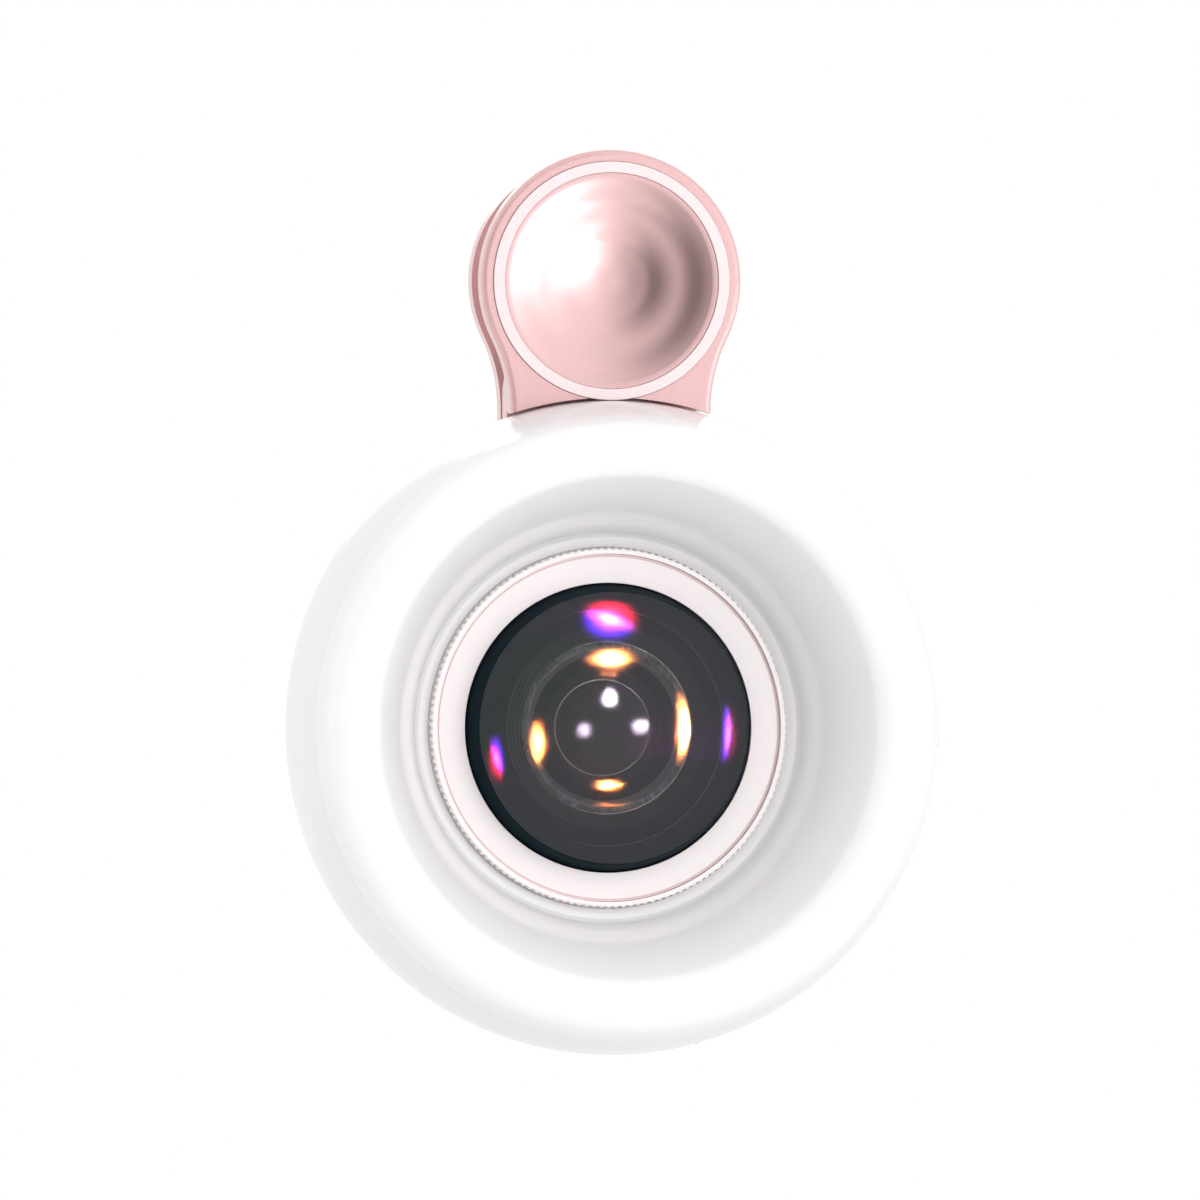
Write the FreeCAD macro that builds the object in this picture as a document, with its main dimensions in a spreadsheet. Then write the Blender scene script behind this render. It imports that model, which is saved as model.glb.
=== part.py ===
import FreeCAD, Part
import math
import operator
import os

import Sketcher
from FreeCAD import Placement, Rotation, Vector

# A pocket fill light that is pinched onto a phone: a white ring light with a deep dish, a
# wide-angle lens screwed into its middle, and a sprung clip behind, whose handle stands above.
# The origin is on the optical axis, in the plane of the front pad that lies against the phone.
# X is to the right seen from the front, Y points from the light towards the phone, Z is up.
# The pieces in front of the phone therefore lie at negative Y.

doc = FreeCAD.newDocument("clip_ring_light")
sheet = doc.addObject("Spreadsheet::Sheet", "sizes")

# Driving sizes in millimetres and degrees
SIZES = {
    # layers in front of the phone
    "pad_thickness": 1.2,
    "arm_thickness": 3.0,
    "back_wall": 1.6,
    # ring light
    "ring_width": 15.26,
    "crest_front": 24.6,
    "widest_front": 10.5,
    "seam_drop": 4.0,
    "seam_inset": 1.4,
    "crest_inset": 5.2,
    "crest_round": 3.4,
    "crest_outer_angle": 20.0,
    "crest_inner_angle": 32.0,
    "shoulder_bulge": 0.03,
    "side_bulge": 0.35,
    "corner_bulge": 0.2,
    "back_bulge": 0.39,
    "dish_bulge": 0.6,
    "lip_width": 0.95,
    "lip_below_rim": 1.0,
    "lip_depth": 1.6,
    "diffuser_wall": 1.4,
    "housing_wall": 1.5,
    "seam_step": 1.0,
    "back_flat_inset": 3.0,
    "back_corner_inset": 0.8,
    "back_corner_rise": 1.8,
    "rib_width": 2.2,
    # circuit board and what it carries
    "board_ahead": 1.7,
    "board_thickness": 1.0,
    "board_clearance": 1.66,
    "board_margin": 2.7,
    "board_notch_width": 8.4,
    "board_notch_depth": 2.0,
    "boss_radius": 1.9,
    "board_screw_radius": 0.95,
    "screw_head_radius": 1.7,
    "screw_head_height": 1.0,
    "lamp_gap": 0.4,
    "lamp_count": 28,
    "lamp_length": 3.5,
    "lamp_width": 2.8,
    "lamp_height": 0.7,
    "chip_size": 3.0,
    "chip_height": 0.9,
    "battery_length": 17.0,
    "battery_clearance": 2.3,
    "battery_thickness": 3.6,
    "tape_thickness": 0.6,
    "socket_width": 7.5,
    "socket_height": 2.6,
    "socket_length": 5.2,
    "socket_wall": 0.35,
    "socket_overhang": 1.6,
    "tongue_length": 3.6,
    "switch_length": 3.4,
    "switch_width": 6.0,
    "plunger_radius": 0.85,
    "plunger_reach": 0.8,
    "button_radius": 2.4,
    "button_flange": 0.5,
    "button_proud": 0.45,
    "button_travel": 0.4,
    "pipe_radius": 0.8,
    "pipe_length": 3.0,
    # wide lens
    "knurl_radius": 18.74,
    "knurl_depth": 0.24,
    "knurl_teeth": 150,
    "rim_width": 2.2,
    "rim_proud": 0.7,
    "rim_lip": 0.4,
    "rim_band": 3.68,
    "bezel_thickness": 0.8,
    "bezel_gap": 0.27,
    "glass_hold": 0.54,
    "glass_flange": 0.8,
    "glass_taper": 1.11,
    "glass_side": 3.66,
    "glass_dome": 3.44,
    "glass_middle": 3.0,
    "glass_wall": 1.55,
    "baffle_depth": 1.0,
    "baffle_edge": 0.15,
    "baffle_slope": 1.7,
    "baffle_gap": 0.1,
    "rear_inset": 4.1,
    "rear_hold": 0.7,
    "rear_dome": 1.6,
    "rear_rim": 0.7,
    "rear_ledge": 0.4,
    "barrel_gap": 0.4,
    "neck_wall": 1.7,
    "neck_depth": 1.0,
    # base lens
    "thread_radius": 8.5,
    "tube_proud": 0.2,
    "macro_shoulder": 0.9,
    "macro_flange": 1.0,
    "macro_wall": 2.3,
    "macro_lip": 0.8,
    "macro_ledge": 1.6,
    "macro_edge": 0.8,
    "macro_dome": 2.1,
    # front arm and its handle
    "plate_margin": 2.6,
    "strip_half_width": 10.5,
    "plate_neck_radius": 8.0,
    "handle_front": 11.3,
    "handle_thickness": 2.6,
    "head_gap": 0.05,
    "head_margin": 1.25,
    "neck_round": 17.1,
    "handle_round": 0.6,
    "trim_radius": 12.4,
    "trim_width": 1.2,
    "dish_wall": 0.5,
    "dish_rim": 0.5,
    "terrace_fall": 0.66,
    "floor_fall": 0.54,
    "terrace_slope": 3.25,
    "terrace_width": 1.68,
    "floor_slope": 2.91,
    "pad_margin": 0.7,
    "arm_screw_offset": 2.7,
    "arm_screw_radius": 0.85,
    "arm_screw_head_radius": 1.5,
    "arm_screw_head": 1.2,
    # hinge
    "hinge_drop": 6.0,
    "hinge_depth": 2.2,
    "pin_radius": 1.0,
    "ear_radius": 2.6,
    "ear_thickness": 2.4,
    "ear_inside": 7.0,
    "wire_radius": 0.35,
    "coil_radius": 1.75,
    "coil_pitch": 1.2,
    "coil_turns": 4,
    "leg_length": 6.4,
    # rear lever
    "lever_thickness": 2.4,
    "lever_inset": 0.95,
    "lever_strip_inset": 1.4,
    "lever_head_depth": 1.6,
    "lever_clear": 0.6,
    "lever_lean": 0.4,
    "trim_allowance": 1.0,
    "jaw_depth": 8.3,
    "jaw_low": 15.4,
    "jaw_slope": 7.0,
    "jaw_bend": 1.0,
    "jaw_bend_height": 7.4,
    "bend_round": 2.4,
    "rear_pad_thickness": 1.5,
    "rear_pad_width": 13.0,
    "rear_pad_height": 7.0,
    "rear_pad_round": 2.0,
    "lever_dimple_radius": 9.0,
    "lever_dimple_depth": 0.6,
    # clearances
    "seat_gap": 0.05,
    "running_gap": 0.05,
    "part_gap": 0.3,
    "lens_gap": 0.2,
}

for row, (alias, number) in enumerate(SIZES.items(), start=1):
    sheet.set(f"A{row}", alias.replace("_", " "))
    sheet.set(f"B{row}", str(number))
    sheet.setAlias(f"B{row}", alias)
doc.recompute()


class Size:
    """A number together with the sheet expression that gives it."""

    def __init__(self, value, text):
        self.value = float(value)
        self.text = text

    def __add__(self, other):
        return combine(self, "+", other)

    def __radd__(self, other):
        return combine(other, "+", self)

    def __sub__(self, other):
        return combine(self, "-", other)

    def __rsub__(self, other):
        return combine(other, "-", self)

    def __mul__(self, other):
        return combine(self, "*", other)

    def __rmul__(self, other):
        return combine(other, "*", self)

    def __truediv__(self, other):
        return combine(self, "/", other)

    def __neg__(self):
        return combine(0.0, "-", self)


SIGNS = {"+": operator.add, "-": operator.sub, "*": operator.mul, "/": operator.truediv}


def as_size(item):
    return item if isinstance(item, Size) else Size(item, f"{float(item):.6f}")


def combine(left, sign, right):
    left = as_size(left)
    right = as_size(right)
    return Size(SIGNS[sign](left.value, right.value), f"({left.text} {sign} {right.text})")


def root(item):
    return Size(math.sqrt(item.value), f"sqrt({item.text})")


def cosine(angle):
    return Size(math.cos(math.radians(angle.value)), f"cos({angle.text})")


def sine(angle):
    return Size(math.sin(math.radians(angle.value)), f"sin({angle.text})")


class Sheet:
    """Reads each driving size of the sheet, as S.ring_width."""

    def __getattr__(self, alias):
        return Size(SIZES[alias], f"sizes.{alias}")


S = Sheet()
FOLLOWERS = []


def follows(alias, size):
    """Adds a size that follows from others to the sheet, as a formula, and returns it."""
    FOLLOWERS.append(alias)
    row = len(SIZES) + len(FOLLOWERS)
    sheet.set(f"A{row}", alias.replace("_", " "))
    sheet.set(f"B{row}", "=" + size.text.replace("sizes.", ""))
    sheet.setAlias(f"B{row}", alias)
    return Size(size.value, f"sizes.{alias}")


ZERO = Size(0.0, "0")
# how close two lengths or volumes have to be to count as the same
NEAR = 1e-3


def bind(target, path, size):
    """Sets a property of an object to a size, bound to the sheet."""
    target.setExpression(path, as_size(size).text)


def new_body(name):
    body = doc.addObject("PartDesign::Body", name)
    body.Label = name
    return body


def new_sketch(body, name, plane, at=None):
    """A sketch on one of the body's own origin planes, moved along the plane's normal."""
    sketch = body.newObject("Sketcher::SketchObject", name)
    face = next(item for item in body.Origin.OriginFeatures if item.Role == plane)
    sketch.AttachmentSupport = [(face, "")]
    sketch.MapMode = "FlatFace"
    if at is not None:
        # the normal of the XZ plane points to negative Y
        bind(sketch, "AttachmentOffset.Base.z", -at if plane == "XZ_Plane" else at)
    return sketch


def tie(sketch, element, end, point):
    """Fixes one point of an element at two sizes measured from the sketch's origin."""
    for kind, size in (("DistanceX", point[0]), ("DistanceY", point[1])):
        size = as_size(size)
        index = sketch.addConstraint(Sketcher.Constraint(kind, -1, 1, element, end, size.value))
        bind(sketch, f"Constraints[{index}]", size)


def bowed(start, end, bulge):
    """The middle of an arc that stands off its chord by the bulge, to the left of its travel."""
    run = end[0] - start[0]
    rise = end[1] - start[1]
    length = root(run * run + rise * rise)
    return (
        (start[0] + end[0]) / 2 - bulge * rise / length,
        (start[1] + end[1]) / 2 + bulge * run / length,
    )


def outline(sketch, *corners):
    """A closed outline through corners (x, y). A third item bows the side that leads there."""
    points = [(as_size(corner[0]), as_size(corner[1])) for corner in corners]
    bulges = [corner[2] if len(corner) > 2 else None for corner in corners]
    sides = []
    for index, start in enumerate(points):
        after = (index + 1) % len(points)
        end = points[after]
        flat_start = Vector(start[0].value, start[1].value, 0)
        flat_end = Vector(end[0].value, end[1].value, 0)
        if bulges[after] is None:
            side = sketch.addGeometry(Part.LineSegment(flat_start, flat_end))
        else:
            middle = bowed(start, end, as_size(bulges[after]))
            flat_middle = Vector(middle[0].value, middle[1].value, 0)
            side = sketch.addGeometry(Part.Arc(flat_start, flat_middle, flat_end))
            mark = sketch.addGeometry(Part.Point(flat_middle), True)
            tie(sketch, mark, 1, middle)
            sketch.addConstraint(Sketcher.Constraint("PointOnObject", mark, 1, side))
        first = 1 if sketch.getPoint(side, 1).distanceToPoint(flat_start) < NEAR else 2
        tie(sketch, side, first, start)
        sides.append((side, first, 3 - first))
    for (side, _, last), (following, first, _) in zip(sides, sides[1:] + sides[:1]):
        sketch.addConstraint(Sketcher.Constraint("Coincident", side, last, following, first))


def circle(sketch, centre, radius):
    radius = as_size(radius)
    middle = Vector(as_size(centre[0]).value, as_size(centre[1]).value, 0)
    side = sketch.addGeometry(Part.Circle(middle, Vector(0, 0, 1), radius.value))
    tie(sketch, side, 3, centre)
    index = sketch.addConstraint(Sketcher.Constraint("Radius", side, radius.value))
    bind(sketch, f"Constraints[{index}]", radius)


def box_outline(sketch, centre, width, height):
    left = centre[0] - width / 2
    right = centre[0] + width / 2
    low = centre[1] - height / 2
    high = centre[1] + height / 2
    outline(sketch, (left, low), (right, low), (right, high), (left, high))


def paddle(sketch, centre_height, head_round, half_width, neck_round, end_height):
    """A round head that flows by two hollow arcs into a straight strip, up or down from it."""
    reach = head_round + neck_round
    across = half_width + neck_round
    drop = root(reach * reach - across * across)
    way = 1 if end_height.value > centre_height.value else -1
    neck_height = centre_height + way * drop
    share = head_round / reach
    touch_x = across * share
    touch_z = centre_height + way * drop * share
    # how far each neck arc and the head arc stand off their chords
    run = touch_x - half_width
    rise = drop - drop * share
    neck_chord = root(run * run + rise * rise)
    neck_bulge = neck_round - root(neck_round * neck_round - neck_chord * neck_chord / 4)
    head_bulge = head_round + drop * share
    turn = way * 1.0
    outline(
        sketch,
        (half_width, end_height),
        (half_width, neck_height),
        (touch_x, touch_z, turn * -1 * neck_bulge),
        (-touch_x, touch_z, turn * head_bulge),
        (-half_width, neck_height, turn * -1 * neck_bulge),
        (-half_width, end_height),
    )


def volume(body):
    doc.recompute()
    return body.Shape.Volume


def pad(body, sketch, name, length, reversed_way=False, both_ways=False):
    feature = body.newObject("PartDesign::Pad", name)
    feature.Profile = sketch
    bind(feature, "Length", length)
    feature.Reversed = reversed_way
    feature.Midplane = both_ways
    return feature


def pocket(body, sketch, name, length=None, reversed_way=False, both_ways=False):
    """Cuts the sketch into the body; with no length it cuts all the way through."""
    before = volume(body)
    feature = body.newObject("PartDesign::Pocket", name)
    feature.Profile = sketch
    feature.Reversed = reversed_way
    feature.Midplane = both_ways
    if length is None:
        feature.Type = "ThroughAll"
    else:
        bind(feature, "Length", length)
    if volume(body) > before - NEAR:
        raise ValueError(f"{name} cuts nothing")
    return feature


def revolve(body, sketch, name, feature_type="PartDesign::Revolution"):
    """Turns a sketch on the XY plane round the body's own Y axis."""
    before = volume(body) if feature_type.endswith("Groove") else None
    feature = body.newObject(feature_type, name)
    feature.Profile = sketch
    feature.ReferenceAxis = (sketch, ["V_Axis"])
    feature.Angle = 360
    if before is not None and volume(body) > before - NEAR:
        raise ValueError(f"{name} cuts nothing")
    return feature


def copies_round_axis(body, feature, name, count):
    """Repeats a feature evenly round the body's Y axis."""
    doc.recompute()
    pattern = body.newObject("PartDesign::PolarPattern", name)
    pattern.Originals = [feature]
    axis = next(item for item in body.Origin.OriginFeatures if item.Role == "Y_Axis")
    pattern.Axis = (axis, [""])
    pattern.Angle = 360
    bind(pattern, "Occurrences", count)
    body.Tip = pattern
    return pattern


def round_edges(body, name, radius, wanted):
    """Fillets every edge of the body's present shape that the test picks out."""
    doc.recompute()
    base = body.Tip
    picked = [f"Edge{n}" for n, edge in enumerate(base.Shape.Edges, start=1) if wanted(edge)]
    if not picked:
        raise ValueError(f"{name} finds no edges")
    feature = body.newObject("PartDesign::Fillet", name)
    feature.Base = (base, picked)
    bind(feature, "Radius", radius)
    return feature


def turned(name, *corners):
    """A piece turned on a lathe: its outline is given as (radius, Y)."""
    body = new_body(name)
    sketch = new_sketch(body, f"{name}_profile", "XY_Plane")
    outline(sketch, *corners)
    revolve(body, sketch, f"{name}_turned")
    return body


def lies_at(edge, axis, place):
    """True if both ends of an edge have this coordinate."""
    return all(abs(getattr(vertex.Point, axis) - place) < NEAR for vertex in edge.Vertexes)


def runs_along(edge, axis):
    """True for a straight edge along this axis."""
    if len(edge.Vertexes) != 2:
        return False
    run = edge.Vertexes[1].Point - edge.Vertexes[0].Point
    return abs(getattr(run, axis)) > run.Length - NEAR and edge.Curve.TypeId == "Part::GeomLine"


# Radii that follow from the driving sizes, from the lens outwards and inwards
ring_radius = follows("ring_radius", S.knurl_radius + S.ring_width)
seam_radius = follows("seam_radius", ring_radius - S.seam_inset)
crest_radius = follows("crest_radius", ring_radius - S.crest_inset)
back_flat_radius = follows("back_flat_radius", ring_radius - S.back_flat_inset)
back_corner_radius = follows("back_corner_radius", ring_radius - S.back_corner_inset)
lip_radius = follows("lip_radius", S.knurl_radius + S.lens_gap)
lip_outer = follows("lip_outer", lip_radius + S.lip_width)
rib_outer = follows("rib_outer", lip_radius + S.rib_width)
board_outer_radius = follows("board_outer_radius", ring_radius - S.board_margin)
board_inner_radius = follows("board_inner_radius", rib_outer + S.board_clearance)
boss_circle = follows("boss_circle", board_outer_radius - S.boss_radius)
lamp_outer_radius = boss_circle - S.screw_head_radius - S.lamp_gap
lamp_circle = follows("lamp_circle", lamp_outer_radius - S.lamp_width / 2)
battery_space = board_outer_radius - board_inner_radius
battery_width = follows("battery_width", battery_space - S.battery_clearance)
bezel_inner_radius = follows("bezel_inner_radius", S.knurl_radius - S.rim_band)
glass_rim_radius = follows("glass_rim_radius", bezel_inner_radius + S.glass_hold)
glass_radius = follows("glass_radius", bezel_inner_radius - S.glass_taper)
glass_hollow_radius = follows("glass_hollow_radius", glass_radius - S.glass_wall)
baffle_outer_radius = follows("baffle_outer_radius", glass_hollow_radius - S.baffle_gap)
rear_glass_radius = follows("rear_glass_radius", glass_hollow_radius - S.rear_inset)
rear_glass_clear_radius = follows("rear_glass_clear_radius", rear_glass_radius - S.rear_hold)
baffle_inner_radius = follows("baffle_inner_radius", rear_glass_clear_radius + S.baffle_gap)
neck_radius = follows("neck_radius", S.thread_radius + S.neck_wall)
macro_flange_radius = follows("macro_flange_radius", S.thread_radius + S.macro_shoulder)
macro_bore_radius = follows("macro_bore_radius", S.thread_radius - S.macro_wall)
macro_clear_radius = follows("macro_clear_radius", macro_bore_radius - S.macro_lip)
window_radius = follows("window_radius", macro_bore_radius + S.part_gap)
arm_screw_circle = follows("arm_screw_circle", neck_radius + S.arm_screw_offset)
plate_radius = follows("plate_radius", arm_screw_circle + S.plate_margin)

# Depths in front of the phone that follow, from the arm to the crest
arm_depth = follows("arm_depth", S.pad_thickness + S.arm_thickness)
floor_depth = follows("floor_depth", arm_depth + S.back_wall)
neck_back = follows("neck_back", arm_depth - S.neck_depth)
barrel_back = follows("barrel_back", floor_depth + S.barrel_gap)
rear_glass_seat = follows("rear_glass_seat", barrel_back + S.rear_ledge)
rear_glass_rim = follows("rear_glass_rim", rear_glass_seat + S.rear_rim)
rear_glass_apex = follows("rear_glass_apex", rear_glass_rim + S.rear_dome)
baffle_front = follows("baffle_front", rear_glass_rim + S.baffle_depth)
glass_seat = follows("glass_seat", rear_glass_rim + S.baffle_edge + S.seat_gap)
bezel_back = follows("bezel_back", glass_seat + S.glass_flange)
bezel_front = follows("bezel_front", bezel_back + S.bezel_thickness)
rim_front = follows("rim_front", bezel_front + S.rim_proud)
rim_back = follows("rim_back", rim_front - S.rim_width)
glass_edge_front = follows("glass_edge_front", bezel_front + S.glass_side)
glass_apex = follows("glass_apex", glass_edge_front + S.glass_dome)
glass_hollow_apex = follows("glass_hollow_apex", glass_apex - S.glass_middle)
lip_front = follows("lip_front", rim_front - S.lip_below_rim)
lip_back = follows("lip_back", lip_front - S.lip_depth)
macro_front = follows("macro_front", floor_depth + S.tube_proud)
macro_back = follows("macro_back", S.pad_thickness + S.macro_ledge)
macro_rim = follows("macro_rim", macro_back + S.macro_edge)
macro_apex = follows("macro_apex", macro_rim + S.macro_dome)
back_corner_front = follows("back_corner_front", arm_depth + S.back_corner_rise)
board_front = follows("board_front", S.widest_front + S.board_ahead)
seam_front = follows("seam_front", S.crest_front - S.seam_drop)

# The handle, its dish and the hinge, placed from the top of the ring
head_radius = follows("head_radius", S.trim_radius + S.head_margin)
head_height = follows("head_height", ring_radius + S.head_gap + S.trim_radius)
dish_radius = follows("dish_radius", S.trim_radius - S.trim_width)
terrace_outer = follows("terrace_outer", dish_radius - S.terrace_slope)
terrace_inner = follows("terrace_inner", terrace_outer - S.terrace_width)
dish_floor = follows("dish_floor", terrace_inner - S.floor_slope)
dish_depth = follows("dish_depth", S.terrace_fall + S.floor_fall)
dish_recess = follows("dish_recess", dish_depth + S.dish_wall)
hinge_height = follows("hinge_height", ring_radius - S.hinge_drop)
leg_top = follows("leg_top", hinge_height + S.leg_length)
lever_head_radius = follows("lever_head_radius", head_radius - S.lever_inset)
lever_half_width = follows("lever_half_width", S.strip_half_width - S.lever_strip_inset)
lever_hinge_depth = follows("lever_hinge_depth", S.hinge_depth + S.ear_radius + S.lever_clear)

# The same places as Y coordinates, on the light's side of the phone
arm_front = -arm_depth
floor_front = -floor_depth
crest_centre = S.crest_round - S.crest_front
board_back = S.board_thickness - board_front


def crest_point(radius, angle, side):
    """A point of the crest's cross-section circle, at an angle above its level."""
    return (
        crest_radius + side * radius * cosine(angle),
        crest_centre - radius * sine(angle),
    )


def crest_bulge(radius):
    """How far the crest arc stands off the chord between its two ends."""
    start = crest_point(radius, S.crest_outer_angle, 1)
    end = crest_point(radius, S.crest_inner_angle, -1)
    run = start[0] - end[0]
    rise = start[1] - end[1]
    return radius - root(radius * radius - (run * run + rise * rise) / 4)


def make_diffuser():
    """Opal front shell: side wall, rounded crest and the dish that runs down to the lens."""
    inner_round = S.crest_round - S.diffuser_wall
    tongue = seam_radius - S.diffuser_wall / 2
    outer_end = crest_point(S.crest_round, S.crest_outer_angle, 1)
    inner_end = crest_point(S.crest_round, S.crest_inner_angle, -1)
    cavity_inner = crest_point(inner_round, S.crest_inner_angle, -1)
    cavity_outer = crest_point(inner_round, S.crest_outer_angle, 1)
    return turned(
        "diffuser_ring",
        (seam_radius, -seam_front),
        (outer_end[0], outer_end[1], S.shoulder_bulge),
        (inner_end[0], inner_end[1], crest_bulge(S.crest_round)),
        (lip_outer, -lip_front, S.dish_bulge),
        (lip_radius, -lip_front + S.lip_width / 2),
        (lip_radius, -lip_back),
        (lip_outer + S.diffuser_wall, -lip_back),
        (cavity_inner[0], cavity_inner[1], -S.dish_bulge),
        (cavity_outer[0], cavity_outer[1], -crest_bulge(inner_round)),
        (tongue - S.diffuser_wall / 2, -seam_front),
        (tongue - S.diffuser_wall / 2, -seam_front + S.seam_step),
        (tongue - S.seat_gap, -seam_front + S.seam_step),
        (tongue - S.seat_gap, -seam_front),
    )


def make_housing():
    """White rear shell: outer wall, flat back, centre rib, bosses and the holes in its wall."""
    tongue = seam_radius - S.diffuser_wall / 2
    step_radius = tongue - S.diffuser_wall / 2
    floor_radius = back_flat_radius - S.housing_wall / 2
    body = turned(
        "ring_housing",
        (neck_radius + S.part_gap * 2, arm_front),
        (back_flat_radius, arm_front),
        (back_corner_radius, -back_corner_front, S.back_bulge),
        (ring_radius, -S.widest_front, S.corner_bulge),
        (seam_radius, -seam_front, S.side_bulge),
        (tongue, -seam_front),
        (tongue, -seam_front + S.seam_step),
        (step_radius, -seam_front + S.seam_step),
        (ring_radius - S.housing_wall, -S.widest_front, -S.side_bulge),
        (back_corner_radius - S.housing_wall, floor_front - S.housing_wall, -S.corner_bulge),
        (floor_radius, floor_front, -S.corner_bulge),
        (rib_outer, floor_front),
        (rib_outer, -lip_back),
        (lip_radius, -lip_back),
        (lip_radius, floor_front),
        (neck_radius + S.part_gap * 2, floor_front),
    )
    bosses = new_sketch(body, "boss_rings", "XZ_Plane", floor_front + S.back_wall / 2)
    for turn in BOARD_SCREW_ANGLES:
        circle(bosses, around(boss_circle, turn), S.boss_radius)
    pad(body, bosses, "bosses", floor_front + S.back_wall / 2 - board_back)
    pilots = new_sketch(body, "pilot_rings", "XZ_Plane", board_back)
    for turn in BOARD_SCREW_ANGLES:
        circle(pilots, around(boss_circle, turn), S.board_screw_radius + S.seat_gap)
    pocket(body, pilots, "board_screw_pilots", BOARD_SCREW_DEPTH + S.part_gap)
    screws = new_sketch(body, "arm_screw_rings", "XZ_Plane", floor_front)
    for turn in ARM_SCREW_ANGLES:
        circle(screws, around(arm_screw_circle, turn), S.arm_screw_radius + S.seat_gap)
    pocket(body, screws, "arm_screw_holes", S.back_wall)
    slot = new_sketch(body, "socket_slot_outline", "XY_Plane", -board_inner_radius)
    slot_width = S.socket_width + S.part_gap * 2
    slot_height = S.socket_height + S.part_gap * 2
    box_outline(slot, (ZERO, socket_middle), slot_width, slot_height)
    pocket(body, slot, "socket_slot", ring_radius)
    button = new_sketch(body, "button_hole_outline", "YZ_Plane", board_inner_radius)
    circle(button, (-S.widest_front, ZERO), S.button_radius + S.running_gap)
    pocket(body, button, "button_hole", ring_radius, reversed_way=True)
    pipe = new_sketch(body, "pipe_hole_outline", "XY_Plane", -board_inner_radius)
    circle(pipe, (pipe_across, pipe_depth), S.pipe_radius + S.seat_gap)
    pocket(body, pipe, "pipe_hole", ring_radius)
    return body


def make_led_board():
    """Ring-shaped circuit board with a notch beside the button and three screw holes."""
    body = new_body("led_board")
    ring = new_sketch(body, "board_rings", "XZ_Plane", board_back)
    circle(ring, (ZERO, ZERO), board_outer_radius)
    circle(ring, (ZERO, ZERO), board_inner_radius)
    pad(body, ring, "board_plate", S.board_thickness)
    notch = new_sketch(body, "board_notch_outline", "XZ_Plane", board_back)
    depth = S.board_notch_depth * 2
    box_outline(notch, (board_outer_radius, ZERO), depth, S.board_notch_width)
    pocket(body, notch, "board_notch", both_ways=True)
    holes = new_sketch(body, "board_hole_rings", "XZ_Plane", board_back)
    for turn in BOARD_SCREW_ANGLES:
        circle(holes, around(boss_circle, turn), S.board_screw_radius + S.seat_gap)
    pocket(body, holes, "board_holes", both_ways=True)
    return body


def make_leds():
    """The lamps, soldered evenly round the front of the board."""
    body = new_body("leds")
    body.AllowCompound = True
    lamp = new_sketch(body, "lamp_outline", "XZ_Plane", -board_front)
    box_outline(lamp, (lamp_circle, ZERO), S.lamp_width, S.lamp_length)
    first = pad(body, lamp, "first_lamp", S.lamp_height)
    copies_round_axis(body, first, "lamp_ring", S.lamp_count)
    return body


def make_board_chips():
    """Charging and driver chips on the back of the board."""
    body = new_body("board_chips")
    body.AllowCompound = True
    chips = new_sketch(body, "chip_outlines", "XZ_Plane", board_back + S.chip_height)
    middle = (board_inner_radius + board_outer_radius) / 2
    for turn in CHIP_ANGLES:
        box_outline(chips, around(middle, turn), S.chip_size, S.chip_size)
    pad(body, chips, "chips", S.chip_height)
    return body


def screw_set(name, angles, circle_radius, face, way, head, shank):
    """Pan-head screws on a circle: a head under the face, and a shank behind the head."""
    body = new_body(name)
    body.AllowCompound = True
    head_radius, head_height = head
    shank_radius, shank_length = shank
    heads = new_sketch(body, f"{name}_head_rings", "XZ_Plane", face)
    for turn in angles:
        circle(heads, around(circle_radius, turn), head_radius)
    pad(body, heads, f"{name}_heads", head_height, reversed_way=way < 0)
    shanks = new_sketch(body, f"{name}_shank_rings", "XZ_Plane", face)
    for turn in angles:
        circle(shanks, around(circle_radius, turn), shank_radius)
    pad(body, shanks, f"{name}_shanks", head_height + shank_length, reversed_way=way < 0)
    return body


def make_battery():
    """Small flat cell that lies along the back wall, turned to the upper left."""
    body = new_body("battery")
    cell = new_sketch(body, "cell_outline", "XZ_Plane", floor_front - S.tape_thickness)
    box_outline(cell, (battery_middle, ZERO), battery_width, S.battery_length)
    pad(body, cell, "cell", S.battery_thickness)
    cell_round = S.battery_thickness / 3
    round_edges(body, "cell_rounds", cell_round, lambda edge: runs_along(edge, "y"))
    body.Placement = BATTERY_TURN
    return body


def make_battery_tape():
    """Foam tape that holds the cell to the housing."""
    body = new_body("battery_tape")
    tape = new_sketch(body, "tape_outline", "XZ_Plane", floor_front)
    width = battery_width - S.tape_thickness * 2
    length = S.battery_length - S.tape_thickness * 2
    box_outline(tape, (battery_middle, ZERO), width, length)
    pad(body, tape, "tape", S.tape_thickness)
    body.Placement = BATTERY_TURN
    return body


def socket_outline(sketch, width, height):
    """The socket's section: two corners on the board's far side are cut off."""
    low = socket_middle - height / 2
    high = socket_middle + height / 2
    cut = S.socket_height / 3
    outline(
        sketch,
        (-(width / 2), low),
        (width / 2, low),
        (width / 2, high - cut),
        (width / 2 - cut, high),
        (cut - width / 2, high),
        (-(width / 2), high - cut),
    )


def make_usb_socket():
    """Metal shell of the charging socket, open at the bottom."""
    body = new_body("usb_socket")
    shell = new_sketch(body, "shell_outline", "XY_Plane", socket_mouth)
    socket_outline(shell, S.socket_width, S.socket_height)
    pad(body, shell, "shell", S.socket_length)
    mouth = new_sketch(body, "mouth_outline", "XY_Plane", socket_mouth)
    wall = S.socket_wall * 2
    socket_outline(mouth, S.socket_width - wall, S.socket_height - wall)
    pocket(body, mouth, "mouth", S.socket_length - S.socket_wall * 2, reversed_way=True)
    return body


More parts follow.
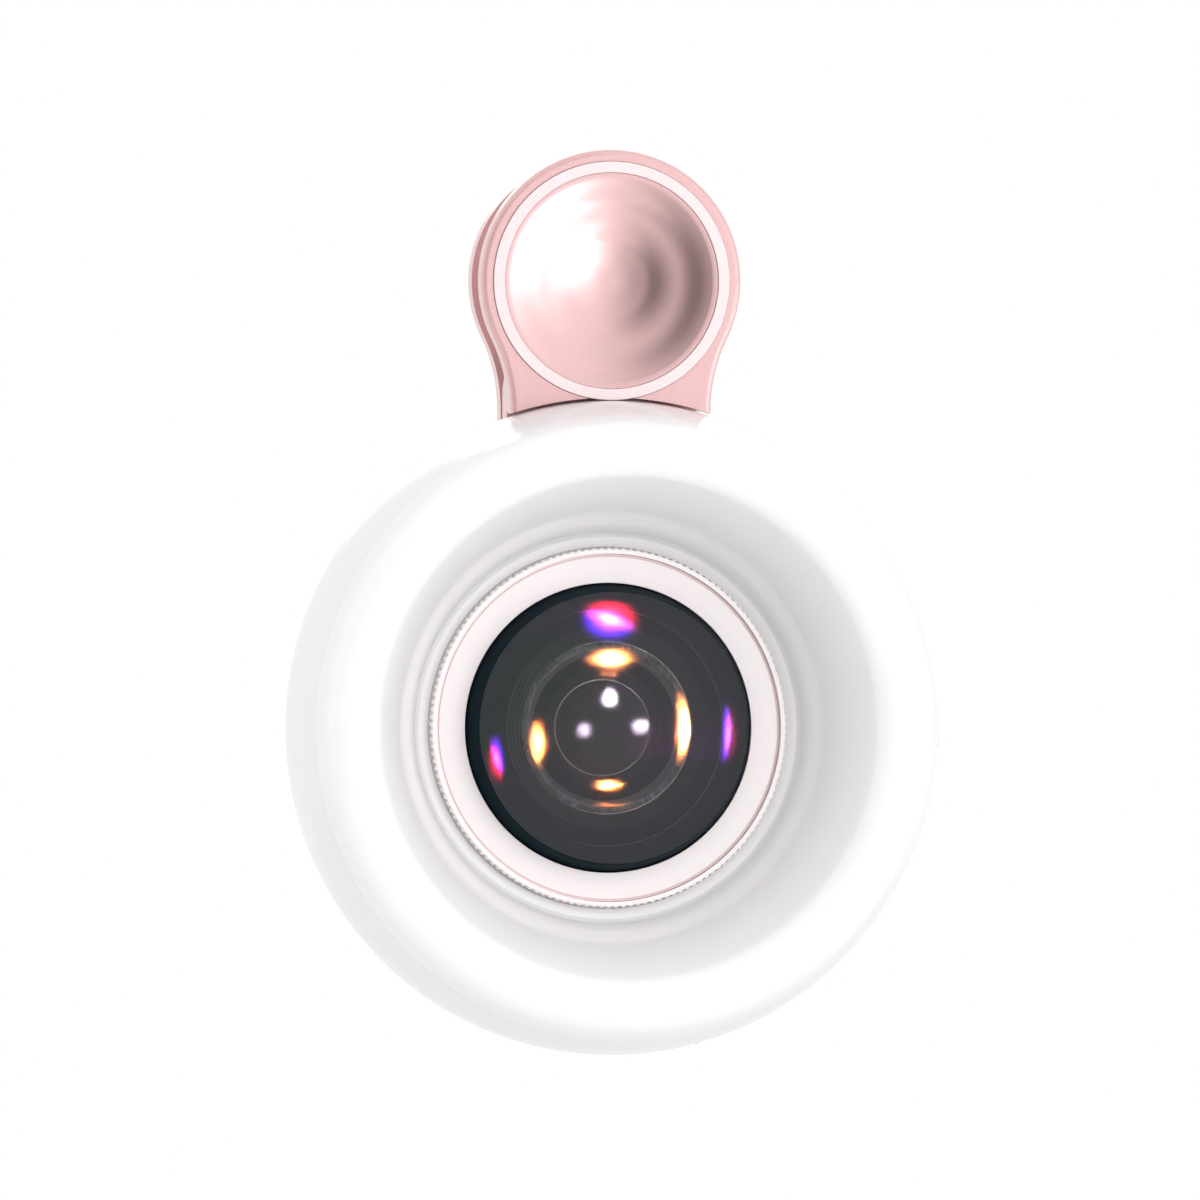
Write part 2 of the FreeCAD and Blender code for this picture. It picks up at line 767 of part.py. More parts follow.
def make_usb_tongue():
    """Contact tongue that stands in the socket's mouth."""
    body = new_body("usb_tongue")
    foot = socket_mouth + S.socket_length - S.socket_wall * 2
    tongue = new_sketch(body, "tongue_outline", "XY_Plane", foot)
    box_outline(tongue, (ZERO, socket_middle), S.socket_width / 2, S.socket_height / 4)
    pad(body, tongue, "tongue", S.tongue_length, reversed_way=True)
    return body


def make_tact_switch():
    """Side-press switch on the back of the board, with the bore of its plunger."""
    body = new_body("tact_switch")
    case = new_sketch(body, "case_outline", "XZ_Plane", board_back)
    middle = switch_face - S.switch_length / 2
    box_outline(case, (middle, ZERO), S.switch_length, S.switch_width)
    depth = (board_front - S.board_thickness - S.widest_front) * 2 + S.plunger_radius * 4
    pad(body, case, "case", depth, reversed_way=True)
    bore = new_sketch(body, "bore_outline", "YZ_Plane", switch_face)
    circle(bore, (plunger_depth, ZERO), S.plunger_radius + S.running_gap)
    pocket(body, bore, "bore", S.plunger_reach + S.button_travel + S.part_gap)
    return body


def make_switch_plunger():
    """Plunger that the button presses into the switch."""
    body = new_body("switch_plunger")
    rod = new_sketch(body, "rod_outline", "YZ_Plane", button_inner)
    circle(rod, (plunger_depth, ZERO), S.plunger_radius)
    pad(body, rod, "rod", S.plunger_reach * 2, reversed_way=True)
    return body


def make_power_button():
    """Button cap: a flange inside the wall and a round head that stands a little proud."""
    body = new_body("power_button")
    flange = new_sketch(body, "flange_outline", "YZ_Plane", button_inner)
    circle(flange, (-S.widest_front, ZERO), S.button_radius + S.button_flange)
    pad(body, flange, "flange", S.button_flange)
    head = new_sketch(body, "head_outline", "YZ_Plane", button_inner)
    circle(head, (-S.widest_front, ZERO), S.button_radius)
    pad(body, head, "head", button_outer - button_inner)
    outer = button_outer.value
    round_edges(body, "head_round", S.button_proud, lambda edge: lies_at(edge, "x", outer))
    return body


def make_light_pipe():
    """Clear pin that shows the charging lamp in the bottom of the side wall."""
    body = new_body("light_pipe")
    pin = new_sketch(body, "pipe_outline", "XY_Plane", pipe_mouth)
    circle(pin, (pipe_across, pipe_depth), S.pipe_radius)
    pad(body, pin, "pipe", S.pipe_length)
    return body


def make_wide_lens_barrel():
    """Turned barrel of the wide lens, with a fine straight knurl cut round its rim."""
    bezel_outer = S.knurl_radius - S.rim_lip - S.knurl_depth
    body = turned(
        "wide_lens_barrel",
        (bezel_outer, -rim_front),
        (S.knurl_radius - S.knurl_depth, -rim_front),
        (S.knurl_radius, -rim_front + S.knurl_depth),
        (S.knurl_radius, -rim_back),
        (S.knurl_radius - rim_back + barrel_back, -barrel_back),
        (neck_radius, -barrel_back),
        (neck_radius, -neck_back),
        (S.thread_radius + S.running_gap, -neck_back),
        (S.thread_radius + S.running_gap, -barrel_back),
        (rear_glass_clear_radius, -barrel_back),
        (rear_glass_clear_radius, -rear_glass_seat),
        (rear_glass_radius + S.seat_gap, -rear_glass_seat),
        (rear_glass_radius + S.seat_gap, -rear_glass_rim),
        (baffle_outer_radius + S.seat_gap, -rear_glass_rim),
        (baffle_outer_radius + S.seat_gap, -glass_seat),
        (glass_rim_radius + S.seat_gap, -glass_seat),
        (glass_rim_radius + S.seat_gap, -bezel_back),
        (bezel_outer, -bezel_back),
    )
    # a tooth gap is a shallow notch that opens past the rim's outer radius
    gap = new_sketch(body, "tooth_gap_outline", "XZ_Plane", -rim_front)
    pitch = S.knurl_radius * 2 * math.pi / S.knurl_teeth
    root_radius = S.knurl_radius - S.knurl_depth
    mouth = S.knurl_radius + S.knurl_depth
    outline(gap, (root_radius, ZERO), (mouth, -pitch), (mouth, pitch))
    cut = pocket(body, gap, "tooth_gap", rim_front - rim_back - S.knurl_depth)
    copies_round_axis(body, cut, "knurl", S.knurl_teeth)
    return body


def make_lens_bezel():
    """Flat ring screwed in over the front glass; its face is plain."""
    outer = S.knurl_radius - S.rim_lip - S.knurl_depth - S.bezel_gap
    edge = S.knurl_depth / 2
    return turned(
        "lens_bezel",
        (bezel_inner_radius, -bezel_back),
        (outer, -bezel_back),
        (outer, -bezel_front + edge),
        (outer - edge, -bezel_front),
        (bezel_inner_radius + edge, -bezel_front),
        (bezel_inner_radius, -bezel_front + edge),
    )


def dome_bulge(radius, rise):
    """An arc from a lens rim to its apex on the axis: how far its middle leaves the chord."""
    curve = (radius * radius + rise * rise) / (2 * rise)
    chord = radius * radius + rise * rise
    return curve - root(curve * curve - chord / 4)


def make_front_glass():
    """Front element: a deep meniscus whose narrow side wall rises out of the bezel."""
    dome_rise = glass_apex - glass_edge_front
    hollow_rise = glass_hollow_apex - glass_seat
    return turned(
        "front_glass",
        (ZERO, -glass_hollow_apex),
        (glass_hollow_radius, -glass_seat, -dome_bulge(glass_hollow_radius, hollow_rise)),
        (glass_rim_radius, -glass_seat),
        (glass_rim_radius, -bezel_back),
        (bezel_inner_radius - S.seat_gap, -bezel_back),
        (glass_radius, -glass_edge_front),
        (ZERO, -glass_apex, dome_bulge(glass_radius, dome_rise)),
    )


def make_lens_baffle():
    """Black ring that keeps the two elements apart and stops stray light."""
    return turned(
        "lens_baffle",
        (baffle_inner_radius, -rear_glass_rim),
        (baffle_outer_radius, -rear_glass_rim),
        (baffle_outer_radius, -rear_glass_rim - S.baffle_edge),
        (baffle_outer_radius - S.baffle_slope, -baffle_front),
        (baffle_inner_radius, -baffle_front),
    )


def make_rear_glass():
    """Second element of the wide lens: a shallow dome on a flat rim."""
    rise = rear_glass_apex - rear_glass_rim
    return turned(
        "rear_glass",
        (ZERO, -rear_glass_seat),
        (rear_glass_radius, -rear_glass_seat),
        (rear_glass_radius, -rear_glass_rim),
        (rear_glass_clear_radius, -rear_glass_rim),
        (ZERO, -rear_glass_apex, dome_bulge(rear_glass_clear_radius, rise)),
    )


def make_macro_barrel():
    """Threaded tube of the base lens, set into the arm from the phone's side."""
    return turned(
        "macro_barrel",
        (macro_bore_radius, -macro_front),
        (S.thread_radius - S.knurl_depth, -macro_front),
        (S.thread_radius, -macro_front + S.knurl_depth),
        (S.thread_radius, macro_flange_front),
        (macro_flange_radius, macro_flange_front),
        (macro_flange_radius, -S.pad_thickness),
        (macro_clear_radius, -S.pad_thickness),
        (macro_clear_radius, -macro_back),
        (macro_bore_radius, -macro_back),
    )


def make_macro_lens():
    """Base lens: a small dome with a flat back towards the phone's camera."""
    rise = macro_apex - macro_rim
    return turned(
        "macro_lens",
        (ZERO, -macro_back),
        (macro_bore_radius - S.seat_gap, -macro_back),
        (macro_bore_radius - S.seat_gap, -macro_rim),
        (macro_clear_radius, -macro_rim),
        (ZERO, -macro_apex, dome_bulge(macro_clear_radius, rise)),
    )


def make_macro_retainer():
    """Thin ring over the rim of the base lens."""
    return turned(
        "macro_retainer",
        (macro_clear_radius + S.seat_gap, -macro_rim),
        (macro_bore_radius - S.seat_gap, -macro_rim),
        (macro_bore_radius - S.seat_gap, -macro_rim - S.macro_flange),
        (macro_clear_radius + S.seat_gap, -macro_rim - S.macro_flange),
    )


def ear(body, name, inside, way, root_depth):
    """A hinge ear: a tongue from its root to a half circle round the pin's far side."""
    start = inside if way > 0 else -inside
    tongue = new_sketch(body, f"{name}_outline", "YZ_Plane", start)
    low = (S.hinge_depth, hinge_height - S.ear_radius)
    high = (S.hinge_depth, hinge_height + S.ear_radius)
    first, last = (low, high) if root_depth.value > S.hinge_depth.value else (high, low)
    outline(tongue, (root_depth, first[1]), first, (*last, S.ear_radius), (root_depth, last[1]))
    pad(body, tongue, name, S.ear_thickness, reversed_way=way < 0)


def make_front_arm():
    """Moulded front arm: the lens plate, the handle that stands above the ring, hinge ears."""
    body = new_body("front_arm")
    handle = new_sketch(body, "handle_outline", "XZ_Plane", handle_back)
    low_end = ring_radius - S.arm_thickness * 2
    paddle(handle, head_height, head_radius, S.strip_half_width, S.neck_round, low_end)
    pad(body, handle, "handle", S.handle_thickness)
    front = -S.handle_front.value
    round_edges(body, "handle_rounds", S.handle_round, lambda edge: lies_at(edge, "y", front))
    plate = new_sketch(body, "lens_plate_outline", "XZ_Plane", -S.pad_thickness)
    plate_half_width = S.strip_half_width - S.handle_round
    plate_top = ring_radius + S.handle_thickness / 2
    paddle(plate, ZERO, plate_radius, plate_half_width, S.plate_neck_radius, plate_top)
    pad(body, plate, "lens_plate", S.arm_thickness)
    web = new_sketch(body, "web_profile", "YZ_Plane")
    web_front = (S.handle_thickness / 2) - S.handle_front
    slope_start = ring_radius + S.handle_thickness / 2
    slope_end = slope_start - S.pad_thickness - handle_back
    outline(
        web,
        (-S.pad_thickness, low_end),
        (-S.pad_thickness, slope_start),
        (handle_back, slope_end),
        (web_front, slope_end),
        (web_front, low_end),
    )
    pad(body, web, "web", plate_half_width * 2, both_ways=True)
    clear = new_sketch(body, "ring_clearance_outline", "XY_Plane")
    clear_radius = ring_radius + S.part_gap
    outline(
        clear,
        (ZERO, arm_front),
        (ZERO, -S.crest_front),
        (clear_radius, -S.crest_front),
        (clear_radius, arm_front),
    )
    revolve(body, clear, "ring_clearance", "PartDesign::Groove")
    neck_seat = new_sketch(body, "neck_seat_outline", "XZ_Plane", arm_front)
    circle(neck_seat, (ZERO, ZERO), neck_radius + S.part_gap)
    pocket(body, neck_seat, "neck_seat", -arm_front - neck_back + S.part_gap)
    tube_seat = new_sketch(body, "tube_seat_outline", "XZ_Plane", arm_front)
    circle(tube_seat, (ZERO, ZERO), S.thread_radius + S.seat_gap)
    pocket(body, tube_seat, "tube_seat", both_ways=True)
    flange_seat = new_sketch(body, "flange_seat_outline", "XZ_Plane", -S.pad_thickness)
    circle(flange_seat, (ZERO, ZERO), macro_flange_radius + S.seat_gap)
    pocket(body, flange_seat, "flange_seat", S.macro_flange, reversed_way=True)
    screws = new_sketch(body, "screw_hole_rings", "XZ_Plane", arm_front)
    heads = new_sketch(body, "screw_seat_rings", "XZ_Plane", -S.pad_thickness)
    for turn in ARM_SCREW_ANGLES:
        place = around(arm_screw_circle, turn)
        circle(screws, place, S.arm_screw_radius + S.seat_gap)
        circle(heads, place, S.arm_screw_head_radius + S.seat_gap)
    pocket(body, screws, "screw_holes", both_ways=True)
    pocket(body, heads, "screw_seats", S.arm_screw_head, reversed_way=True)
    recess = new_sketch(body, "dish_recess_outline", "XZ_Plane", -S.handle_front)
    circle(recess, (ZERO, head_height), S.trim_radius + S.seat_gap)
    pocket(body, recess, "dish_recess", dish_recess)
    for way, side in ((1, "right"), (-1, "left")):
        root_depth = -S.pad_thickness - S.arm_thickness / 2
        ear(body, f"{side}_ear", S.ear_inside, way, root_depth)
    pin_hole = new_sketch(body, "pin_hole_outline", "YZ_Plane")
    circle(pin_hole, (S.hinge_depth, hinge_height), S.pin_radius + S.seat_gap / 2)
    pocket(body, pin_hole, "pin_hole", both_ways=True)
    return body


def make_dish_trim():
    """Pale ring pressed into the handle round the thumb dish."""
    edge = S.knurl_depth
    body = turned(
        "dish_trim",
        (dish_radius + S.seat_gap, recess_floor),
        (S.trim_radius, recess_floor),
        (S.trim_radius, -S.handle_front),
        (S.trim_radius - edge, -S.handle_front - edge),
        (dish_radius + S.seat_gap + edge, -S.handle_front - edge),
        (dish_radius + S.seat_gap, -S.handle_front),
    )
    bind(body, "Placement.Base.z", head_height)
    return body


def ripple(start, end):
    """Two corners that join two level stretches by an S-shaped slope."""
    middle = ((start[0] + end[0]) / 2, (start[1] + end[1]) / 2)
    run = (start[0] - end[0]) / 2
    fall = (end[1] - start[1]) / 2
    # each half turns by twice its slope, so its middle stands off by a quarter of its fall
    bulge = fall / 4 * root(run * run + fall * fall) / run
    return (middle[0], middle[1], bulge), (end[0], end[1], -bulge)


def make_thumb_dish():
    """Spun metal dish for the thumb, stepped down twice in soft rings."""
    rim = (dish_radius - S.dish_rim, -S.handle_front)
    terrace_start = (terrace_outer, -S.handle_front + S.terrace_fall)
    terrace_end = (terrace_inner, -S.handle_front + S.terrace_fall)
    floor_start = (dish_floor, -S.handle_front + dish_depth)
    body = turned(
        "thumb_dish",
        (ZERO, recess_floor),
        (dish_radius, recess_floor),
        (dish_radius, -S.handle_front),
        rim,
        *ripple(rim, terrace_start),
        terrace_end,
        *ripple(terrace_end, floor_start),
        (ZERO, -S.handle_front + dish_depth),
    )
    bind(body, "Placement.Base.z", head_height)
    return body


def make_front_pad():
    """Rubber ring on the phone side of the lens plate, open in front of the camera."""
    outer = plate_radius - S.pad_margin
    edge = S.pad_thickness / 4
    return turned(
        "front_pad",
        (window_radius, -S.pad_thickness),
        (outer, -S.pad_thickness),
        (outer, -edge),
        (outer - edge, ZERO),
        (window_radius + edge, ZERO),
        (window_radius, -edge),
    )


def make_hinge_pin():
    """Steel pin through the ears of both arms."""
    body = new_body("hinge_pin")
    section = new_sketch(body, "pin_outline", "YZ_Plane")
    circle(section, (S.hinge_depth, hinge_height), S.pin_radius)
    length = (S.ear_inside + S.ear_thickness) * 2 + S.part_gap
    pad(body, section, "pin", length, both_ways=True)
    end = length.value / 2

    def is_rim(edge):
        return lies_at(edge, "x", end) or lies_at(edge, "x", -end)

    round_edges(body, "pin_rounds", S.pin_radius / 4, is_rim)
    return body


def make_rear_lever():
    """Rear arm: handle, hinge ears, a bowed jaw that leaves a throat, and a flat tip."""
    body = new_body("rear_lever")
    profile = new_sketch(body, "lever_profile", "YZ_Plane")
    top = head_height + lever_head_radius + S.trim_allowance
    neck_top = head_height - S.ear_radius * 2
    front = (
        (S.lever_head_depth, top),
        (S.lever_head_depth, neck_top),
        (lever_hinge_depth - S.lever_lean, hinge_height + S.ear_radius * 2),
        (lever_hinge_depth, hinge_height - S.pin_radius),
        (S.jaw_depth, hinge_height - S.jaw_slope),
        (S.jaw_depth, S.jaw_bend),
        (S.rear_pad_thickness, -S.jaw_bend_height),
        (S.rear_pad_thickness, -S.jaw_low),
    )
    back = [(depth + S.lever_thickness, height) for depth, height in reversed(front)]
    outline(profile, *front, *back)
    width = (lever_head_radius + S.trim_allowance) * 2
    pad(body, profile, "lever_strip", width, both_ways=True)
    top_end = top.value
    tip_end = -S.jaw_low.value

    def is_bend(edge):
        is_end = lies_at(edge, "z", top_end) or lies_at(edge, "z", tip_end)
        return runs_along(edge, "x") and not is_end

    round_edges(body, "lever_bends", S.bend_round, is_bend)
    for way, side in ((1, "right"), (-1, "left")):
        inside = S.ear_inside - S.part_gap - S.ear_thickness
        deep = lever_hinge_depth + S.lever_thickness / 2
        ear(body, f"lever_{side}_ear", inside, way, deep)
    trim = new_sketch(body, "lever_trim_outline", "XZ_Plane")
    low_end = -S.jaw_low - S.trim_allowance
    paddle(trim, head_height, lever_head_radius, lever_half_width, S.neck_round, low_end)
    waste = lever_head_radius * 8
    box_outline(trim, (ZERO, hinge_height), waste, waste)
    pocket(body, trim, "lever_trim", both_ways=True)
    pin_hole = new_sketch(body, "lever_pin_hole_outline", "YZ_Plane")
    circle(pin_hole, (S.hinge_depth, hinge_height), S.pin_radius + S.running_gap)
    pocket(body, pin_hole, "lever_pin_hole", both_ways=True)
    dimple = new_sketch(
        body, "dimple_outline", "XZ_Plane", S.lever_head_depth + S.lever_thickness
    )
    circle(dimple, (ZERO, head_height), S.lever_dimple_radius)
    pocket(body, dimple, "dimple", S.lever_dimple_depth, reversed_way=True)

    def is_tip_corner(edge):
        return lies_at(edge, "z", tip_end) and runs_along(edge, "y")

    round_edges(body, "tip_rounds", lever_half_width / 2, is_tip_corner)
    return body


def make_rear_pad():
    """Rubber pad on the tip of the rear lever; at rest it lies on the front pad."""
    body = new_body("rear_pad")
    face = new_sketch(body, "rear_pad_outline", "XZ_Plane", S.rear_pad_thickness)
    middle = (S.rear_pad_height / 2 + S.part_gap) - S.jaw_low
    box_outline(face, (ZERO, middle), S.rear_pad_width, S.rear_pad_height)
    pad(body, face, "rubber", S.rear_pad_thickness)
    round_edges(body, "rear_pad_rounds", S.rear_pad_round, lambda edge: runs_along(edge, "y"))
    return body


def arc_from(start, heading, end):
    """An arc that leaves the start along the heading and reaches the end."""
    chord = end - start
    along = Vector(chord).normalize()
    side = heading - along * heading.dot(along)
    if side.Length < NEAR**2:
        return Part.LineSegment(start, end).toShape()
    side.normalize()
    half_turn = heading.getAngle(along)
    middle = start + chord / 2 + side * (chord.Length / 2 * math.tan(half_turn / 2))
    return Part.Arc(start, middle, end).toShape()


def biarc(start, heading, end, arrival):
    """Two arcs that join two points with the given headings."""
    gap = end - start
    both = heading + arrival
    spare = 2 * (1 - heading.dot(arrival))
    along = gap.dot(both)
    reach = (math.sqrt(along * along + spare * gap.dot(gap)) - along) / spare
    middle = (start + end + (heading - arrival) * reach) / 2
    first = arc_from(start, heading, middle)
    tip = first.Curve.tangent(first.LastParameter)[0]
    return [first, arc_from(middle, tip, end)]


def make_torsion_spring():
    """One wire: a leg up the front arm, coils round the pin, and a leg up the rear lever."""
    pin = Vector(0, S.hinge_depth.value, hinge_height.value)
    coil = S.coil_radius.value
    pitch = S.coil_pitch.value
    wire_radius = S.wire_radius.value
    rise = leg_top.value - hinge_height.value
    front_gap = S.hinge_depth.value - coil - wire_radius + S.pad_thickness.value
    lean = math.atan2(front_gap - S.part_gap.value, rise)
    turns = S.coil_turns.value
    start_angle = math.pi + lean
    end_angle = 2 * math.pi * (turns + 1)
    width = pitch * (end_angle - start_angle) / (2 * math.pi)

    def coil_point(angle):
        across = pitch * (angle - start_angle) / (2 * math.pi) - width / 2
        return pin + Vector(across, coil * math.cos(angle), coil * math.sin(angle))

    def coil_heading(angle):
        step = Vector(pitch / (2 * math.pi), -coil * math.sin(angle), coil * math.cos(angle))
        return step.normalize()

    count = math.ceil((end_angle - start_angle) / (math.pi / 2))
    angles = [start_angle + (end_angle - start_angle) * n / count for n in range(count + 1)]
    edges = []
    for low, high in zip(angles, angles[1:]):
        edges += biarc(coil_point(low), coil_heading(low), coil_point(high), coil_heading(high))
    first_leg = coil_point(start_angle) - coil_heading(start_angle) * rise
    last_leg = coil_point(end_angle) + coil_heading(end_angle) * rise
    edges.insert(0, Part.LineSegment(first_leg, coil_point(start_angle)).toShape())
    edges.append(Part.LineSegment(coil_point(end_angle), last_leg).toShape())
    path = Part.Wire(edges)
    ring = Part.Circle(first_leg, coil_heading(start_angle), wire_radius)
    section = Part.Wire(ring.toShape())
    spring = doc.addObject("Part::Feature", "torsion_spring")
    spring.Label = "torsion_spring"
    spring.Shape = path.makePipeShell([section], True, False)
    print(f"torsion_spring least gap to itself {least_gap(path, wire_radius):.2f} mm")
    ideal = math.pi * wire_radius**2 * path.Length
    print(f"torsion_spring volume {spring.Shape.Volume:.2f} of {ideal:.2f} mm3")
    return spring


def least_gap(path, wire_radius):
    """The least gap between turns of the wire that are more than half a turn apart."""
    step = wire_radius / 2
    points = path.discretize(Distance=step)
    apart = int(math.pi * S.coil_radius.value / step)
    spans = [
        points[low].distanceToPoint(points[high])
        for low in range(len(points))
        for high in range(low + apart, len(points))
    ]
    return min(spans) - 2 * wire_radius


def around(radius, turn):
    """A place on a circle round the optical axis, by its angle in degrees."""
    angle = math.radians(turn)
    return (radius * round(math.cos(angle), 9), radius * round(math.sin(angle), 9))


# Where the fasteners and the parts on the board sit, as angles seen from the front
BOARD_SCREW_ANGLES = (90, 210, 330)
ARM_SCREW_ANGLES = (45, 135, 225, 315)
CHIP_ANGLES = (300, 60, 110)
BATTERY_TURN = Placement(Vector(0, 0, 0), Rotation(Vector(0, 1, 0), -165))
BOARD_SCREW_DEPTH = S.board_thickness * 3

# Places that are worked out from the driving sizes
socket_middle = board_back + S.socket_height / 2
socket_mouth = -(board_outer_radius + S.socket_overhang)
pipe_across = S.socket_width / 2 + S.pipe_radius * 6
pipe_depth = socket_middle
pipe_mouth = -root(ring_radius * ring_radius - pipe_across * pipe_across)
button_outer = ring_radius + S.button_proud
button_inner = board_outer_radius - S.board_notch_depth + S.plunger_reach
switch_face = button_inner - S.plunger_reach
plunger_depth = board_back + S.plunger_radius * 2
battery_middle = board_inner_radius + battery_width / 2
macro_flange_front = -(S.pad_thickness + S.macro_flange)
handle_back = -(S.handle_front - S.handle_thickness)
recess_floor = -S.handle_front + dish_recess

board_screw_head = (S.screw_head_radius, S.screw_head_height)
board_screw_shank = (S.board_screw_radius, S.board_thickness + BOARD_SCREW_DEPTH)
arm_screw_head = (S.arm_screw_head_radius, S.arm_screw_head)
arm_screw_shank = (
    S.arm_screw_radius,
    S.arm_thickness - S.arm_screw_head + S.back_wall - S.part_gap,
)

PIECES = [
    make_diffuser(),
    make_housing(),
    make_led_board(),
    make_leds(),
    make_board_chips(),
    screw_set(
        "board_screws",
        BOARD_SCREW_ANGLES,
        boss_circle,
        -board_front - S.screw_head_height,
        -1,
        board_screw_head,
        board_screw_shank,
    ),
    make_battery(),
    make_battery_tape(),
    make_usb_socket(),
    make_usb_tongue(),
    make_tact_switch(),
    make_switch_plunger(),
    make_power_button(),
    make_light_pipe(),
    make_wide_lens_barrel(),
    make_lens_bezel(),
    make_front_glass(),
    make_lens_baffle(),
    make_rear_glass(),
    make_macro_barrel(),
    make_macro_lens(),
    make_macro_retainer(),
    make_front_arm(),
    screw_set(
        "arm_screws",
        ARM_SCREW_ANGLES,
        arm_screw_circle,
        -S.pad_thickness,
        1,
        arm_screw_head,
        arm_screw_shank,
    ),
    make_dish_trim(),
    make_thumb_dish(),
    make_front_pad(),
    make_hinge_pin(),
    make_torsion_spring(),
    make_rear_lever(),
    make_rear_pad(),
]

doc.recompute()
for item in doc.Objects:
    if {"Invalid", "Error"} & set(item.State):
        raise ValueError(f"{item.Label} failed to build")
for piece in PIECES:
    if piece.Shape.isNull() or not piece.Shape.isValid() or not piece.Shape.Solids:
        raise ValueError(f"{piece.Label} has no sound solid")

os.makedirs("parts", exist_ok=True)
for piece in PIECES:
    piece.Shape.exportStep(os.path.join("parts", f"{piece.Label}.step"))
print(f"{len(PIECES)} pieces written")
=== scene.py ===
import math

import bpy
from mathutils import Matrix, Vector


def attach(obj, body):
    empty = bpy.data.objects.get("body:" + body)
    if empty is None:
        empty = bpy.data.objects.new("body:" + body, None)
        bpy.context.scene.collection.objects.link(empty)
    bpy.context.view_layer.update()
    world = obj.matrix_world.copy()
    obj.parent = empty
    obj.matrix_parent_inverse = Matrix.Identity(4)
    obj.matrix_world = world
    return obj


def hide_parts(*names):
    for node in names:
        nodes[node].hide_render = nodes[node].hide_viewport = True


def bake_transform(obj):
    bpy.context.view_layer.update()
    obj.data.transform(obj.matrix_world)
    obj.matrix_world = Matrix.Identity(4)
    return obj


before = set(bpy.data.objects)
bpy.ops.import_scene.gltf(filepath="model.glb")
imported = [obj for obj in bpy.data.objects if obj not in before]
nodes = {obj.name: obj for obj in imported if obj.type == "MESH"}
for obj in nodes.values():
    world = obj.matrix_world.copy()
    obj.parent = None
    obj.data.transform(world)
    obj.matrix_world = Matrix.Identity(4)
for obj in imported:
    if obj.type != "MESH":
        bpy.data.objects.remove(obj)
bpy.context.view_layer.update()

# Camera
# A very long lens stands level with the light, 4 m away and 9 degrees to its left. The middle
# of the picture is a little above the ring, between the lens and the thumb dish.
VIEW_TURN = math.radians(-9)
VIEW_DISTANCE = 4
PICTURE_WIDTH = 0.125
AIM_RIGHT = 0.00057
AIM_HEIGHT = 0.01328

view_back = Vector((math.sin(VIEW_TURN), -math.cos(VIEW_TURN), 0))
view_right = Vector((math.cos(VIEW_TURN), math.sin(VIEW_TURN), 0))
view_up = Vector((0, 0, 1))
aim = view_right * AIM_RIGHT + view_up * AIM_HEIGHT
bpy.ops.object.camera_add(location=aim + view_back * VIEW_DISTANCE)
camera = bpy.context.object
camera.rotation_mode = "QUATERNION"
camera.rotation_quaternion = (-view_back).to_track_quat("-Z", "Y")
camera.data.sensor_width = 36
camera.data.lens = camera.data.sensor_width * VIEW_DISTANCE / PICTURE_WIDTH
camera.data.clip_start = 0.01
bpy.context.scene.camera = camera
bpy.context.scene.view_settings.view_transform = "Standard"

# Surroundings
# A white studio. What looks at it straight, in metal or through glass sees plain white, and
# its light on the object is weaker, so that the front lamps can model the dish.
SURROUND_LIGHT = 0.84


def feed(tree, value, socket):
    """Links another node's output to a socket, or sets a plain number there."""
    if isinstance(value, bpy.types.NodeSocket):
        tree.links.new(value, socket)
    else:
        socket.default_value = value


def maths(tree, operation, *values):
    """The result of a sum on outputs of other nodes and plain numbers."""
    node = tree.nodes.new("ShaderNodeMath")
    node.operation = operation
    for value, socket in zip(values, node.inputs):
        feed(tree, value, socket)
    return node.outputs[0]


def ranged(tree, value, start, end, low=0, high=1):
    """A value that runs from start to end, mapped to run from low to high."""
    node = tree.nodes.new("ShaderNodeMapRange")
    tree.links.new(value, node.inputs["Value"])
    node.inputs["From Min"].default_value = start
    node.inputs["From Max"].default_value = end
    node.inputs["To Min"].default_value = low
    node.inputs["To Max"].default_value = high
    return node.outputs["Result"]


world = bpy.data.worlds.new("white_studio")
world.use_nodes = True
bpy.context.scene.world = world
tree = world.node_tree
path = tree.nodes.new("ShaderNodeLightPath").outputs
seen = maths(tree, "MAXIMUM", path["Is Camera Ray"], path["Is Glossy Ray"])
clear = maths(tree, "MAXIMUM", seen, path["Is Transmission Ray"])
sky = tree.nodes["Background"]
sky.inputs["Color"].default_value = (1, 1, 1, 1)
tree.links.new(ranged(tree, clear, 0, 1, SURROUND_LIGHT, 1), sky.inputs["Strength"])

# Floor
# A pale round table top far enough below the light to stay out of the picture. It fades into
# the white surroundings at its edge and keeps the shadow under the light.
FLOOR_HEIGHT = -0.11
FLOOR_RADIUS = 0.55
FLOOR_SHADE = 0.86
FADE_START = 0.35
FADE_END = 0.98

bpy.ops.mesh.primitive_circle_add(
    vertices=96, radius=FLOOR_RADIUS, fill_type="NGON", location=(0, 0, FLOOR_HEIGHT)
)
floor = bpy.context.object
floor.name = "pale_table"
floor_paint = bpy.data.materials.new("pale_table_paint")
floor_paint.use_nodes = True
tree = floor_paint.node_tree
lit = tree.nodes["Principled BSDF"]
lit.inputs["Base Color"].default_value = (FLOOR_SHADE, FLOOR_SHADE, FLOOR_SHADE, 1)
lit.inputs["Roughness"].default_value = 0.8
place = tree.nodes.new("ShaderNodeTexCoord")
reach = tree.nodes.new("ShaderNodeVectorMath")
reach.operation = "LENGTH"
tree.links.new(place.outputs["Object"], reach.inputs[0])
fade = ranged(tree, reach.outputs["Value"], FLOOR_RADIUS * FADE_START, FLOOR_RADIUS * FADE_END)
path = tree.nodes.new("ShaderNodeLightPath").outputs
glow = tree.nodes.new("ShaderNodeEmission")
blend = tree.nodes.new("ShaderNodeMixShader")
tree.links.new(maths(tree, "MULTIPLY", fade, path["Is Camera Ray"]), blend.inputs["Fac"])
